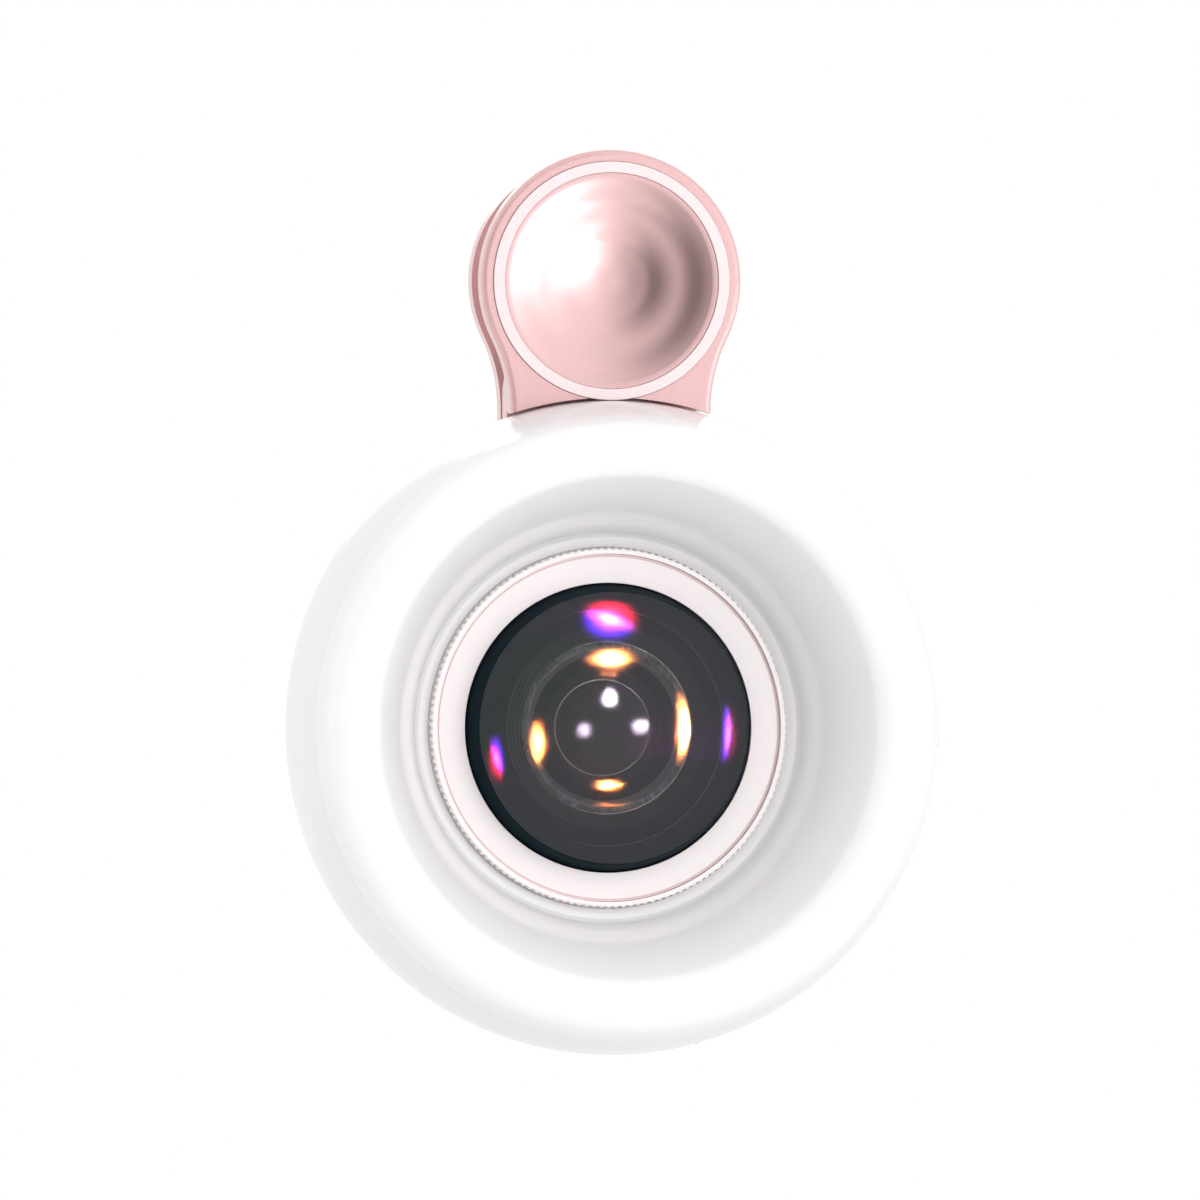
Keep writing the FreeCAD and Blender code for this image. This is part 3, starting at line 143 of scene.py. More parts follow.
tree.links.new(lit.outputs[0], blend.inputs[1])
tree.links.new(glow.outputs[0], blend.inputs[2])
tree.links.new(blend.outputs[0], tree.nodes["Material Output"].inputs["Surface"])
floor.data.materials.append(floor_paint)

# Soft lamps
# Four large soft boxes: a key to the lower right, a wide one above the camera, one at the left
# for the side wall, and one behind, so that the back isn't dull when the camera goes round.
# Only the one behind is mirrored.
SOFT_BOXES = (
    # name, turn and height in degrees, distance, width, power
    ("key_box", 38, -8, 1.3, 1.0, 3.4),
    ("front_box", 10, 14, 1.3, 1.1, 5.0),
    ("side_box", -106, 6, 1.3, 1.0, 1.6),
    ("rear_box", 168, 30, 1.4, 1.0, 4.0),
)


def direction(turn, height):
    """The way to a place that is turned and raised by these degrees, seen from the object."""
    turn = math.radians(turn)
    height = math.radians(height)
    level = math.cos(height)
    return Vector((math.sin(turn) * level, -math.cos(turn) * level, math.sin(height)))


def add_lamp(name, way, distance, width, height, power):
    """An area lamp that looks at the middle of the object."""
    bpy.ops.object.light_add(type="AREA", location=aim + way * distance)
    lamp = bpy.context.object
    lamp.name = name
    lamp.rotation_mode = "QUATERNION"
    lamp.rotation_quaternion = (-way).to_track_quat("-Z", "Y")
    lamp.data.shape = "RECTANGLE"
    lamp.data.size = width
    lamp.data.size_y = height
    lamp.data.energy = power
    return lamp


for name, turn, height, distance, width, power in SOFT_BOXES:
    box = add_lamp(name, direction(turn, height), distance, width, width, power)
    box.visible_glossy = name == "rear_box"

# Cards that metal mirrors
# A bright card stands to the lower right of the camera and fades to plain white at its top; a
# curved dark one stands to its left. Only mirrored rays see them, and they give the thumb dish
# its white and its dark side.
CARD_DISTANCE = 1.6
CARD_STEPS = 24
CARD_FADE = 1.0
CARDS = (
    # name, from and to in degrees of turn, from and to in metres of height, strength, shades
    ("white_card", 75, 13, -1.6, 0.24, 6.0, ((0, 1), (0.85, 1), (1, 0.6))),
    (
        "dark_card", 12, -75, -1.2, 1.2, 1,
        ((0, 1), (0.06, 0.8), (0.18, 0.5), (0.34, 0.17), (0.6, 0.08), (0.85, 0.12), (1, 0.4)),
    ),
)


def ramped(tree, value, stops):
    """A colour ramp over a value. Each stop is a place and a colour, from place 0 to place 1."""
    node = tree.nodes.new("ShaderNodeValToRGB")
    tree.links.new(value, node.inputs["Fac"])
    elements = node.color_ramp.elements
    elements[0].color = (*stops[0][1], 1)
    elements[1].color = (*stops[-1][1], 1)
    for place, colour in stops[1:-1]:
        stop = elements.new(place)
        stop.color = (*colour, 1)
    return node.outputs["Color"]


def add_card(name, start, end, bottom, top, strength, shades):
    """A curved card round the object that glows in shades from its right end to its left."""
    bpy.ops.object.select_all(action="DESELECT")
    bpy.ops.mesh.primitive_plane_add(size=1)
    card = bpy.context.object
    card.name = name
    bpy.ops.object.mode_set(mode="EDIT")
    bpy.ops.mesh.merge(type="CENTER")
    bpy.ops.transform.translate(value=direction(start, 0) * CARD_DISTANCE)
    bpy.ops.transform.translate(value=(0, 0, bottom))
    bpy.ops.mesh.extrude_region_move(TRANSFORM_OT_translate={"value": (0, 0, top - bottom)})
    bpy.ops.mesh.select_all(action="SELECT")
    bpy.ops.mesh.spin(
        steps=CARD_STEPS, angle=math.radians(start - end), center=(0, 0, 0), axis=(0, 0, 1)
    )
    bpy.ops.object.mode_set(mode="OBJECT")
    paint = bpy.data.materials.new(name + "_paint")
    paint.use_nodes = True
    tree = paint.node_tree
    tree.nodes.remove(tree.nodes["Principled BSDF"])
    place = tree.nodes.new("ShaderNodeTexCoord")
    apart = tree.nodes.new("ShaderNodeSeparateXYZ")
    tree.links.new(place.outputs["Object"], apart.inputs[0])
    right_end = direction(start, 0).x * CARD_DISTANCE
    left_end = direction(end, 0).x * CARD_DISTANCE
    across = ranged(tree, apart.outputs["X"], right_end, left_end)
    greys = [(spot, (level, level, level)) for spot, level in shades]
    upward = ranged(tree, apart.outputs["Z"], top - CARD_FADE, top, strength, 1)
    glow = tree.nodes.new("ShaderNodeEmission")
    tree.links.new(upward, glow.inputs["Strength"])
    tree.links.new(ramped(tree, across, greys), glow.inputs["Color"])
    tree.links.new(glow.outputs[0], tree.nodes["Material Output"].inputs["Surface"])
    card.data.materials.append(paint)
    card.visible_camera = False
    card.visible_diffuse = False
    card.visible_shadow = False
    card.visible_transmission = False


for card in CARDS:
    add_card(*card)

# Opal ring
# The front shell of the light: opal polycarbonate, moulded with a polished face. It rises from
# the seam over the crest and falls in one smooth dish to the lens. It snaps into the housing.
MM = 0.001
WELD = MM / 500
ARC_PARTS = 20
SEAM = (32.6, -20.6)
SIDE_BOW = 0.03
CREST_CENTRE = (28.8, -21.2)
CREST_ROUND = 3.4
CREST_OUTER_ANGLE = 20
CREST_INNER_ANGLE = 32
OPAL_WALL = 1.4
DISH_FOOT = (19.89, -8.8)
DISH_BULGE = 0.6
LIP_RADIUS = 18.77
LIP_FACE = -8.05
LIP_BACK = -7.2
TONGUE_INNER = 31.2
TONGUE_OUTER = 31.85
TONGUE_END = -19.6
OPAL = (0.925, 0.925, 0.93)


def bowed(start, end, bulge):
    """Points after the start of an arc whose middle stands off its chord, to the left."""
    run = Vector(end) - Vector(start)
    half = run.length / 2
    radius = (half**2 + bulge**2) / (2 * abs(bulge))
    left = Vector((-run.y, run.x)).normalized()
    side = math.copysign(1, bulge)
    middle = (Vector(start) + Vector(end)) / 2 + left * (bulge - side * radius)
    first = Vector(start) - middle
    sweep = -side * 2 * math.atan2(half, radius - abs(bulge))
    points = []
    for part in range(1, ARC_PARTS + 1):
        turn = sweep * part / ARC_PARTS
        across = first.x * math.cos(turn) - first.y * math.sin(turn)
        along = first.x * math.sin(turn) + first.y * math.cos(turn)
        points.append(middle + Vector((across, along)))
    return points


def turned(name, *corners, closed=True, steps=192, height=0.0):
    """A piece turned round the lens axis, from corners (radius, Y) in millimetres.
    A third number bows the side that leads to its corner, to the left of its travel."""
    points = [Vector(corners[0][:2])]
    legs = corners[1:] + corners[:1] if closed else corners[1:]
    for corner in legs:
        if len(corner) > 2:
            points += bowed(points[-1], corner[:2], corner[2])
        else:
            points.append(Vector(corner))
    places = [Vector((point.x * MM, point.y * MM, height)) for point in points]
    bpy.ops.object.select_all(action="DESELECT")
    bpy.ops.mesh.primitive_plane_add(size=MM)
    piece = bpy.context.object
    piece.name = name
    piece.data.name = name
    bpy.ops.object.mode_set(mode="EDIT")
    bpy.ops.mesh.merge(type="CENTER")
    bpy.ops.transform.translate(value=places[0])
    for here, there in zip(places, places[1:]):
        bpy.ops.mesh.extrude_region_move(TRANSFORM_OT_translate={"value": there - here})
    bpy.ops.mesh.select_all(action="SELECT")
    bpy.ops.mesh.spin(
        steps=steps, angle=2 * math.pi, center=(0, 0, height), axis=(0, 1, 0)
    )
    bpy.ops.mesh.select_all(action="SELECT")
    bpy.ops.mesh.remove_doubles(threshold=WELD)
    bpy.ops.mesh.normals_make_consistent(inside=False)
    bpy.ops.object.mode_set(mode="OBJECT")
    return piece


def soften(piece, width, segments=2, angle=32):
    """Rounds a piece's sharp edges, as a mould or a cutter leaves them, and shades it."""
    bpy.ops.object.select_all(action="DESELECT")
    piece.select_set(True)
    bpy.context.view_layer.objects.active = piece
    bpy.ops.object.shade_smooth()
    bpy.ops.object.modifier_add(type="BEVEL")
    bevel = piece.modifiers[-1]
    bevel.width = width
    bevel.segments = segments
    bevel.limit_method = "ANGLE"
    bevel.angle_limit = math.radians(angle)
    bevel.harden_normals = True
    bpy.ops.object.modifier_apply(modifier=bevel.name)
    bpy.ops.object.mode_set(mode="EDIT")
    bpy.ops.mesh.select_all(action="SELECT")
    bpy.ops.mesh.remove_doubles(threshold=WELD)
    bpy.ops.object.mode_set(mode="OBJECT")


def start_group(name, numbers):
    """A node group that takes a colour and numbers, and gives colour, roughness and height."""
    group = bpy.data.node_groups.new(name, "ShaderNodeTree")
    sockets = group.interface
    sockets.new_socket("Colour", in_out="INPUT", socket_type="NodeSocketColor")
    for label, start in numbers.items():
        socket = sockets.new_socket(label, in_out="INPUT", socket_type="NodeSocketFloat")
        socket.default_value = start
    sockets.new_socket("Colour", in_out="OUTPUT", socket_type="NodeSocketColor")
    for label in ("Roughness", "Height"):
        sockets.new_socket(label, in_out="OUTPUT", socket_type="NodeSocketFloat")
    return group, group.nodes.new("NodeGroupInput").outputs


def end_group(group, given, darkening, gloss, height):
    """Takes the darkening off the colour, spreads the roughness, and gives all of it out."""
    made = group.nodes.new("NodeGroupOutput").inputs
    tint = group.nodes.new("ShaderNodeVectorMath")
    tint.operation = "SCALE"
    group.links.new(given["Colour"], tint.inputs[0])
    group.links.new(maths(group, "SUBTRACT", 1, darkening), tint.inputs["Scale"])
    group.links.new(tint.outputs[0], made["Colour"])
    spread = maths(group, "MULTIPLY_ADD", gloss, given["Unevenness"], given["Roughness"])
    group.links.new(spread, made["Roughness"])
    group.links.new(height, made["Height"])


def noise(tree, scale, detail):
    """Soft noise on the object's own coordinates."""
    place = tree.nodes.new("ShaderNodeTexCoord")
    node = tree.nodes.new("ShaderNodeTexNoise")
    tree.links.new(place.outputs["Object"], node.inputs["Vector"])
    feed(tree, scale, node.inputs["Scale"])
    node.inputs["Detail"].default_value = detail
    return node.outputs["Fac"]


def make_skin_group():
    """A moulded surface: faint clouds in the colour, uneven gloss and a fine ripple."""
    group, given = start_group(
        "moulded_skin",
        {
            "Clouding": 0.03,
            "Cloud Scale": 90.0,
            "Grain Scale": 2200.0,
            "Roughness": 0.2,
            "Unevenness": 0.05,
        },
    )
    cloud = noise(group, given["Cloud Scale"], 4)
    grain = noise(group, given["Grain Scale"], 3)
    end_group(group, given, maths(group, "MULTIPLY", cloud, given["Clouding"]), cloud, grain)
    return group


skin_group = make_skin_group()


def finish(name, group, values, relief, **plain):
    """A material whose colour, gloss and relief come from a group, and the rest is plain."""
    material = bpy.data.materials.new(name)
    material.use_nodes = True
    tree = material.node_tree
    shader = tree.nodes["Principled BSDF"]
    effect = tree.nodes.new("ShaderNodeGroup")
    effect.node_tree = group
    for label, value in values.items():
        effect.inputs[label].default_value = value
    tree.links.new(effect.outputs["Colour"], shader.inputs["Base Color"])
    tree.links.new(effect.outputs["Roughness"], shader.inputs["Roughness"])
    bump = tree.nodes.new("ShaderNodeBump")
    bump.inputs["Strength"].default_value = 1
    bump.inputs["Distance"].default_value = relief
    tree.links.new(effect.outputs["Height"], bump.inputs["Height"])
    tree.links.new(bump.outputs["Normal"], shader.inputs["Normal"])
    for label, value in plain.items():
        shader.inputs[label.replace("_", " ")].default_value = value
    return material


def skin(name, colour, roughness, unevenness=0.05, clouding=0.03, grain=2200, relief=2e-6, **plain):
    """A moulded, cast or painted surface."""
    values = {
        "Colour": (*colour, 1),
        "Clouding": clouding,
        "Grain Scale": grain,
        "Roughness": roughness,
        "Unevenness": unevenness,
    }
    return finish(name, skin_group, values, relief, **plain)


def dress(node, material):
    """Gives a CAD piece its material."""
    slots = nodes[node].data.materials
    slots.clear()
    slots.append(material)


def crest_end(radius, angle, side):
    """Where the crest's round ends, at this angle above its centre."""
    angle = math.radians(angle)
    return (
        CREST_CENTRE[0] + side * radius * math.cos(angle),
        CREST_CENTRE[1] - radius * math.sin(angle),
    )


crest_half_turn = math.radians(180 - CREST_OUTER_ANGLE - CREST_INNER_ANGLE) / 2
crest_bow = 1 - math.cos(crest_half_turn)
cavity_round = CREST_ROUND - OPAL_WALL
ring_front = turned(
    "opal_ring",
    SEAM,
    (*crest_end(CREST_ROUND, CREST_OUTER_ANGLE, 1), SIDE_BOW),
    (*crest_end(CREST_ROUND, CREST_INNER_ANGLE, -1), CREST_ROUND * crest_bow),
    (*DISH_FOOT, DISH_BULGE),
    (LIP_RADIUS, LIP_FACE),
    (LIP_RADIUS, LIP_BACK),
    (DISH_FOOT[0] + OPAL_WALL, LIP_BACK),
    (*crest_end(cavity_round, CREST_INNER_ANGLE, -1), -DISH_BULGE),
    (*crest_end(cavity_round, CREST_OUTER_ANGLE, 1), -cavity_round * crest_bow),
    (TONGUE_INNER, SEAM[1]),
    (TONGUE_INNER, TONGUE_END),
    (TONGUE_OUTER, TONGUE_END),
    (TONGUE_OUTER, SEAM[1]),
    steps=256,
)
soften(ring_front, 0.12 * MM)
ring_front.data.materials.append(skin("opal_polycarbonate", OPAL, 0.1, relief=4e-7, grain=700))
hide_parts("diffuser_ring")
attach(ring_front, "light_head")

# Housing
# The white rear shell: side wall, flat back, centre rib and screw bosses, moulded in one. It
# is a little duller than the opal face.
dress("ring_housing", skin("white_housing", (0.89, 0.89, 0.9), 0.16, relief=1e-6, grain=900))

# Controls in the side wall
# A pressed button, the clear end of the charging light and the charging socket of folded
# nickel-plated steel with its black tongue.
bright_steel = skin("bright_nickel", (0.74, 0.74, 0.75), 0.2, 0.15, 0.08, grain=3000, Metallic=1)
black_moulding = skin("black_moulding", (0.03, 0.03, 0.033), 0.45, 0.1, grain=4000, relief=4e-6)
dress("power_button", skin("button_white", (0.87, 0.87, 0.88), 0.24, grain=3000, relief=3e-6))
dress("light_pipe", skin("clear_acrylic", (0.93, 0.95, 0.97), 0.08, Alpha=0.5, IOR=1.49))
dress("usb_socket", bright_steel)
dress("usb_tongue", black_moulding)

# Circuit board and what it carries
# White solder mask on glass laminate with yellow phosphor lamps in front and black chips
# behind, a foil cell on foam tape, and a side-press switch. All of it is shut in the ring.
dress("led_board", skin("white_solder_mask", (0.8, 0.82, 0.79), 0.35, 0.1, 0.08, grain=1500))
dress("leds", skin("lamp_phosphor", (0.9, 0.78, 0.3), 0.3, 0.1, 0.15, grain=5000, relief=5e-6))
dress("board_chips", black_moulding)
dress("board_screws", bright_steel)
dress("battery", skin("cell_foil", (0.72, 0.73, 0.75), 0.3, 0.2, 0.1, 600, 2e-5, Metallic=1))
dress("battery_tape", skin("foam_tape", (0.82, 0.82, 0.8), 0.8, 0.1, 0.1, 3000, 3e-5))
dress("tact_switch", black_moulding)
dress("switch_plunger", black_moulding)

# Wide lens barrel
# Turned from rose anodised aluminium, with a straight knurl of 150 teeth round its rim. It
# screws onto the base lens.
LATHE_LINES = 5200


def make_turning_group():
    """A surface cut on a lathe: fine rings round an axis along Y, uneven in gloss."""
    group, given = start_group(
        "turned_metal",
        {
            "Axis Height": 0.0,
            "Line Scale": LATHE_LINES,
            "Shading": 0.06,
            "Roughness": 0.25,
            "Unevenness": 0.1,
        },
    )
    place = group.nodes.new("ShaderNodeTexCoord")
    apart = group.nodes.new("ShaderNodeSeparateXYZ")
    group.links.new(place.outputs["Object"], apart.inputs[0])
    above = maths(group, "SUBTRACT", apart.outputs["Z"], given["Axis Height"])
    flat = group.nodes.new("ShaderNodeCombineXYZ")
    group.links.new(apart.outputs["X"], flat.inputs["X"])
    group.links.new(above, flat.inputs["Z"])
    radius = group.nodes.new("ShaderNodeVectorMath")
    radius.operation = "LENGTH"
    group.links.new(flat.outputs[0], radius.inputs[0])
    rings = group.nodes.new("ShaderNodeTexNoise")
    rings.noise_dimensions = "1D"
    rings.inputs["Detail"].default_value = 3
    group.links.new(radius.outputs["Value"], rings.inputs["W"])
    group.links.new(given["Line Scale"], rings.inputs["Scale"])
    lines = rings.outputs["Fac"]
    end_group(group, given, maths(group, "MULTIPLY", lines, given["Shading"]), lines, lines)
    return group


turning_group = make_turning_group()


def lathed(name, colour, roughness, axis_height=0.0, shading=0.06, relief=1e-6, **plain):
    """Metal with the fine rings that a lathe leaves."""
    values = {
        "Colour": (*colour, 1),
        "Axis Height": axis_height,
        "Shading": shading,
        "Roughness": roughness,
    }
    return finish(name, turning_group, values, relief, **plain)


dress("wide_lens_barrel", lathed("rose_anodised", (0.99, 0.93, 0.93), 0.35, Metallic=0.05))

# Bezel
# A flat satin ring in a paler rose, screwed in over the glass. Its face is plain, and a fine
# step runs round it where it meets the rim. That step is painted a darker rose, as painted
# shade for the narrow groove there.
BEZEL_INNER = 15.06
BEZEL_OUTER = 18.08
BEZEL_BACK = -8.3
BEZEL_FACE = -9.1
BEZEL_STEP = (17.83, -8.98)

bezel = turned(
    "lens_bezel_ring",
    (BEZEL_INNER, BEZEL_BACK),
    (BEZEL_OUTER, BEZEL_BACK),
    (BEZEL_OUTER, BEZEL_STEP[1]),
    BEZEL_STEP,
    (BEZEL_STEP[0], BEZEL_FACE),
    (BEZEL_INNER, BEZEL_FACE),
)
soften(bezel, 0.06 * MM)
bezel.data.materials.append(lathed("pale_rose_satin", (1, 0.93, 0.93), 0.3, shading=0.02))
# The second material, a darker rose, is painted shade on the step where the bezel meets the rim.
bezel.data.materials.append(lathed("step_painted_shade", (0.93, 0.74, 0.74), 0.3, Metallic=0.4))
for face in bezel.data.polygons:
    if math.hypot(face.center.x, face.center.z) > (BEZEL_STEP[0] - 0.03) * MM:
        face.material_index = 1
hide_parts("lens_bezel")
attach(bezel, "lens_ring")

# Front element
# A deep coated meniscus of optical glass. Its narrow side wall is painted black and shows as a
# dark edge; the coating on its dome throws lamps back in magenta.
GLASS_APEX = -16.2
GLASS_EDGE = (14.2, -12.7)
GLASS_NECK = 15.01
GLASS_OUTER = 15.6
GLASS_SEAT = -7.56
HOLLOW_APEX = -13.2
HOLLOW_RIM = (12.4, GLASS_SEAT)


def dome_bow(rim, apex):
    """How far a lens surface stands off the straight line from its rim to its apex."""
    rise = rim[1] - apex
    chord = rim[0] ** 2 + rise**2
    curve = chord / (2 * rise)
    return curve - math.sqrt(curve**2 - chord / 4)


def coated(name, body, tint, opacity, index):
    """Coated glass: mostly clear, faintly grey, with a tinted reflection."""
    return skin(
        name,
        body,
        0.03,
        unevenness=0.01,
        relief=0,
        Specular_Tint=(*tint, 1),
        Alpha=opacity,
        IOR=index,
    )


front_glass = turned(
    "front_element",
    (0, HOLLOW_APEX),
    (*HOLLOW_RIM, -dome_bow(HOLLOW_RIM, HOLLOW_APEX)),
    (GLASS_OUTER, GLASS_SEAT),
    (GLASS_OUTER, BEZEL_BACK),
    (GLASS_NECK, BEZEL_BACK),
    GLASS_EDGE,
    (0, GLASS_APEX, dome_bow(GLASS_EDGE, GLASS_APEX)),
    closed=False,
)
soften(front_glass, 0.1 * MM)
edge_paint = skin("black_edge_paint", (0.004, 0.013, 0.018), 0.5, 0.1, relief=0, IOR=1.05)
front_glass.data.materials.append(
    coated("front_coating", (0.07, 0.08, 0.079), (1, 0.06, 1), 0.5, 1.25)
)
front_glass.data.materials.append(edge_paint)
front_glass.data.materials.append(
    coated("hollow_coating", (0.03, 0.02, 0.02), (1, 0.22, 0.1), 0.1, 1.2)
)
for face in front_glass.data.polygons:
    middle = face.center / MM
    reach = math.hypot(middle.x, middle.z)
    if middle.y < GLASS_EDGE[1] and reach < GLASS_EDGE[0] - 0.1:
        face.material_index = 0
    elif reach < HOLLOW_RIM[0] - 0.05:
        face.material_index = 2
    else:
        face.material_index = 1
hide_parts("front_glass")
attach(front_glass, "lens_cell")

# Baffle
# A black turned ring between the two elements, grooved to kill stray light. Its edges show
# through the dome as thin pale circles.
BAFFLE_FRONT = -8.3
BAFFLE_BACK = -7.3
BAFFLE_INNER = 9.0
BAFFLE_OUTER = 12.3
BAFFLE_EDGE = -7.45
BAFFLE_SHOULDER = 10.6
GROOVES = 4
GROOVE_SHARE = 0.7
GROOVE_DEPTH = 0.06

groove_pitch = (BAFFLE_SHOULDER - BAFFLE_INNER) / GROOVES
groove_corners = []
for groove in range(GROOVES):
    outer = BAFFLE_SHOULDER - groove * groove_pitch
    groove_corners.append((outer, BAFFLE_FRONT))
    groove_corners.append((outer - groove_pitch * GROOVE_SHARE, BAFFLE_FRONT + GROOVE_DEPTH))
baffle = turned(
    "grooved_baffle",
    (BAFFLE_INNER, BAFFLE_BACK),
    (BAFFLE_OUTER, BAFFLE_BACK),
    (BAFFLE_OUTER, BAFFLE_EDGE),
    *groove_corners,
    (BAFFLE_INNER, BAFFLE_FRONT),
)
soften(baffle, 0.04 * MM, angle=20)
black_anodised = lathed("black_anodised", (0.02, 0.02, 0.023), 0.3, shading=0.2, relief=2e-6)
baffle.data.materials.append(black_anodised)
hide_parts("lens_baffle")
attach(baffle, "lens_ring")

# Rear element
# A shallow dome behind the baffle, with a fine step that shows as a pale circle and a black
# painted flange. Its coating answers in orange.
REAR_RIM = (8.9, -7.7)
REAR_APEX = -8.9
REAR_STEP = (7.7, -8.06)
REAR_BODY = 8.2
REAR_BACK = -6.66
BACK_LOOP = 7.6

rear_glass = turned(
    "rear_element",
    (0, REAR_BACK),
    (BACK_LOOP, REAR_BACK),
    (REAR_BODY, REAR_BACK),
    (REAR_BODY, BAFFLE_BACK),
    (REAR_RIM[0], BAFFLE_BACK),
    REAR_RIM,
    (REAR_STEP[0] + 0.05, REAR_STEP[1] + 0.07, 0.005),
    REAR_STEP,
    (0, REAR_APEX, dome_bow(REAR_STEP, REAR_APEX)),
    closed=False,
    steps=128,
)
soften(rear_glass, 0.12 * MM, segments=4)
rear_glass.data.materials.append(
    coated("rear_coating", (0.04, 0.035, 0.045), (1, 0.3, 0.08), 0.35, 1.25)
)
rear_glass.data.materials.append(edge_paint)
for face in rear_glass.data.polygons:
    middle = face.center / MM
    reach = math.hypot(middle.x, middle.z)
    if middle.y > BAFFLE_BACK - 0.1 and reach > REAR_BODY - 0.05:
        face.material_index = 1
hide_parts("rear_glass")
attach(rear_glass, "lens_cell")

# Base lens
# The small lens that stays on the clip: a dome in a threaded black tube, held by a thin ring.
# Its coating answers in pale violet, and the ground step at its edge shows as a pale circle.
BASE_RIM = (5.4, -4.82)
BASE_APEX = -5.7
BASE_STEP = (4.95, -5.07)
BASE_BODY = 6.1
BASE_SEAT = -3.6
BASE_BACK = -2.86
BASE_LOOP = 5.8

base_glass = turned(
    "base_element",
    (0, BASE_BACK),
    (BASE_LOOP, BASE_BACK),
    (BASE_BODY, BASE_BACK),
    (BASE_BODY, BASE_SEAT),
    (BASE_RIM[0], BASE_SEAT),
    BASE_RIM,
    (BASE_STEP[0] + 0.1, BASE_STEP[1] + 0.12, 0.005),
    BASE_STEP,
    (0, BASE_APEX, dome_bow(BASE_STEP, BASE_APEX)),
    closed=False,
    steps=128,
)
soften(base_glass, 0.2 * MM, segments=4)
base_glass.data.materials.append(
    coated("base_coating", (0.05, 0.045, 0.06), (0.9, 0.75, 1), 0.5, 1.3)
)
base_glass.data.materials.append(skin("ground_glass_edge", (0.9, 0.86, 0.95), 0.6, 0.1))
for face in base_glass.data.polygons:
    middle = face.center / MM
    reach = math.hypot(middle.x, middle.z) - BASE_STEP[0]
    if middle.y < BASE_RIM[1] and -0.02 < reach < 0.12:
        face.material_index = 1
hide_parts("macro_lens")
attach(base_glass, "light_head")
dress("macro_barrel", black_anodised)
dress("macro_retainer", lathed("grey_anodised", (0.16, 0.15, 0.18), 0.3))

# Arms of the clip
# Two arms moulded in plastic and sprayed with rose pearl lacquer under a clear coat. The front
# one is screwed to the back of the light, and the rear one turns on the hinge pin.
ROSE = (0.82, 0.51, 0.51)
PALE_ROSE = (0.93, 0.78, 0.79)
COAT = {"Coat_Weight": 0.5, "Coat_Roughness": 0.08, "Metallic": 0.4}


def make_lacquer_group():
    """Pearl lacquer: tiny flakes that differ in shade and gloss over a faintly wavy coat."""
    group, given = start_group(
        "pearl_lacquer",
        {
            "Flake Scale": 9000.0,
            "Flake Shade": 0.1,
            "Roughness": 0.32,
            "Unevenness": 0.12,
        },
    )
    place = group.nodes.new("ShaderNodeTexCoord")
    flakes = group.nodes.new("ShaderNodeTexVoronoi")
    group.links.new(place.outputs["Object"], flakes.inputs["Vector"])
    group.links.new(given["Flake Scale"], flakes.inputs["Scale"])
    shade = group.nodes.new("ShaderNodeSeparateColor")
    group.links.new(flakes.outputs["Color"], shade.inputs[0])
    darkening = maths(group, "MULTIPLY", shade.outputs["Red"], given["Flake Shade"])
    end_group(group, given, darkening, shade.outputs["Green"], noise(group, 700, 2))
    return group


lacquer_group = make_lacquer_group()
rose_lacquer = finish("rose_lacquer", lacquer_group, {"Colour": (*ROSE, 1)}, 1e-6, **COAT)
dress("front_arm", rose_lacquer)
dress("rear_lever", rose_lacquer)

# Trim ring
# A pale ring with rounded edges, moulded in plastic and lacquered like the arms. It is pressed
# into the handle round the thumb dish.
HEAD_HEIGHT = 46.45 * MM
TRIM_INNER = 11.25
TRIM_OUTER = 12.4
TRIM_FACE = -11.54
HEAD_SEAT = -9.6

trim = turned(
    "trim_ring",
    (TRIM_INNER, HEAD_SEAT),
    (TRIM_OUTER, HEAD_SEAT),
    (TRIM_OUTER, TRIM_FACE),
    (TRIM_INNER, TRIM_FACE),
    height=HEAD_HEIGHT,
)
soften(trim, 0.06 * MM)
trim.data.materials.append(
    finish("pale_rose_lacquer", lacquer_group, {"Colour": (*PALE_ROSE, 1)}, 1e-6, **COAT)
)
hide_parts("dish_trim")
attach(trim, "light_head")

# Thumb dish
# A spun disc of rose-plated metal, sunk in two soft rings and brushed in circles. The slopes
# say how steeply it falls towards its middle at each radius.
DISH_SLOPES = ((0, 0), (3.4, 0.1), (4.6, 0.18), (7.0, 0.08), (9.0, 0.19), (10.7, 0.12))
DISH_OUTER = 11.23
DISH_FACE = -11.3
DISH_EDGE = 0.03
DISH_STEP = 0.1


def dish_slope(radius):
    """The slope of the dish at a radius, eased between the listed ones."""
    for (low, start), (high, end) in zip(DISH_SLOPES, DISH_SLOPES[1:]):
        if radius <= high:
            share = (radius - low) / (high - low)
            return start + (end - start) * share * share * (3 - 2 * share)
    return DISH_SLOPES[-1][1]


dish_corners = []
radius = DISH_SLOPES[-1][0]
depth = DISH_FACE
while radius > DISH_STEP / 2:
    dish_corners.append((radius, depth))
    depth += dish_slope(radius - DISH_STEP / 2) * DISH_STEP
    radius -= DISH_STEP
dish = turned(
    "spun_thumb_dish",
    (0, HEAD_SEAT),
    (DISH_OUTER, HEAD_SEAT),
    (DISH_OUTER, DISH_FACE + DISH_EDGE),
    (DISH_OUTER - DISH_EDGE, DISH_FACE),
    *dish_corners,
    (0, depth),
    closed=False,
    height=HEAD_HEIGHT,
)
bpy.ops.object.shade_smooth_by_angle(angle=math.radians(32))
dish.data.materials.append(
    lathed("rose_satin_plate", (0.95, 0.62, 0.62), 0.18, HEAD_HEIGHT, relief=2e-7, Metallic=1)
)
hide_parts("thumb_dish")
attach(dish, "light_head")

# Pads
# Soft rose silicone. The ring round the camera window is ribbed on the phone's side so that
# it grips; the small one on the jaw is plain.
PAD_INNER = 6.5
PAD_OUTER = 14.8
PAD_BACK = -1.2
RIBS = 9
RIB_DEPTH = 0.22
RIB_PROFILE = ((0.12, 0), (0.62, 0), (0.74, -RIB_DEPTH), (1, -RIB_DEPTH))

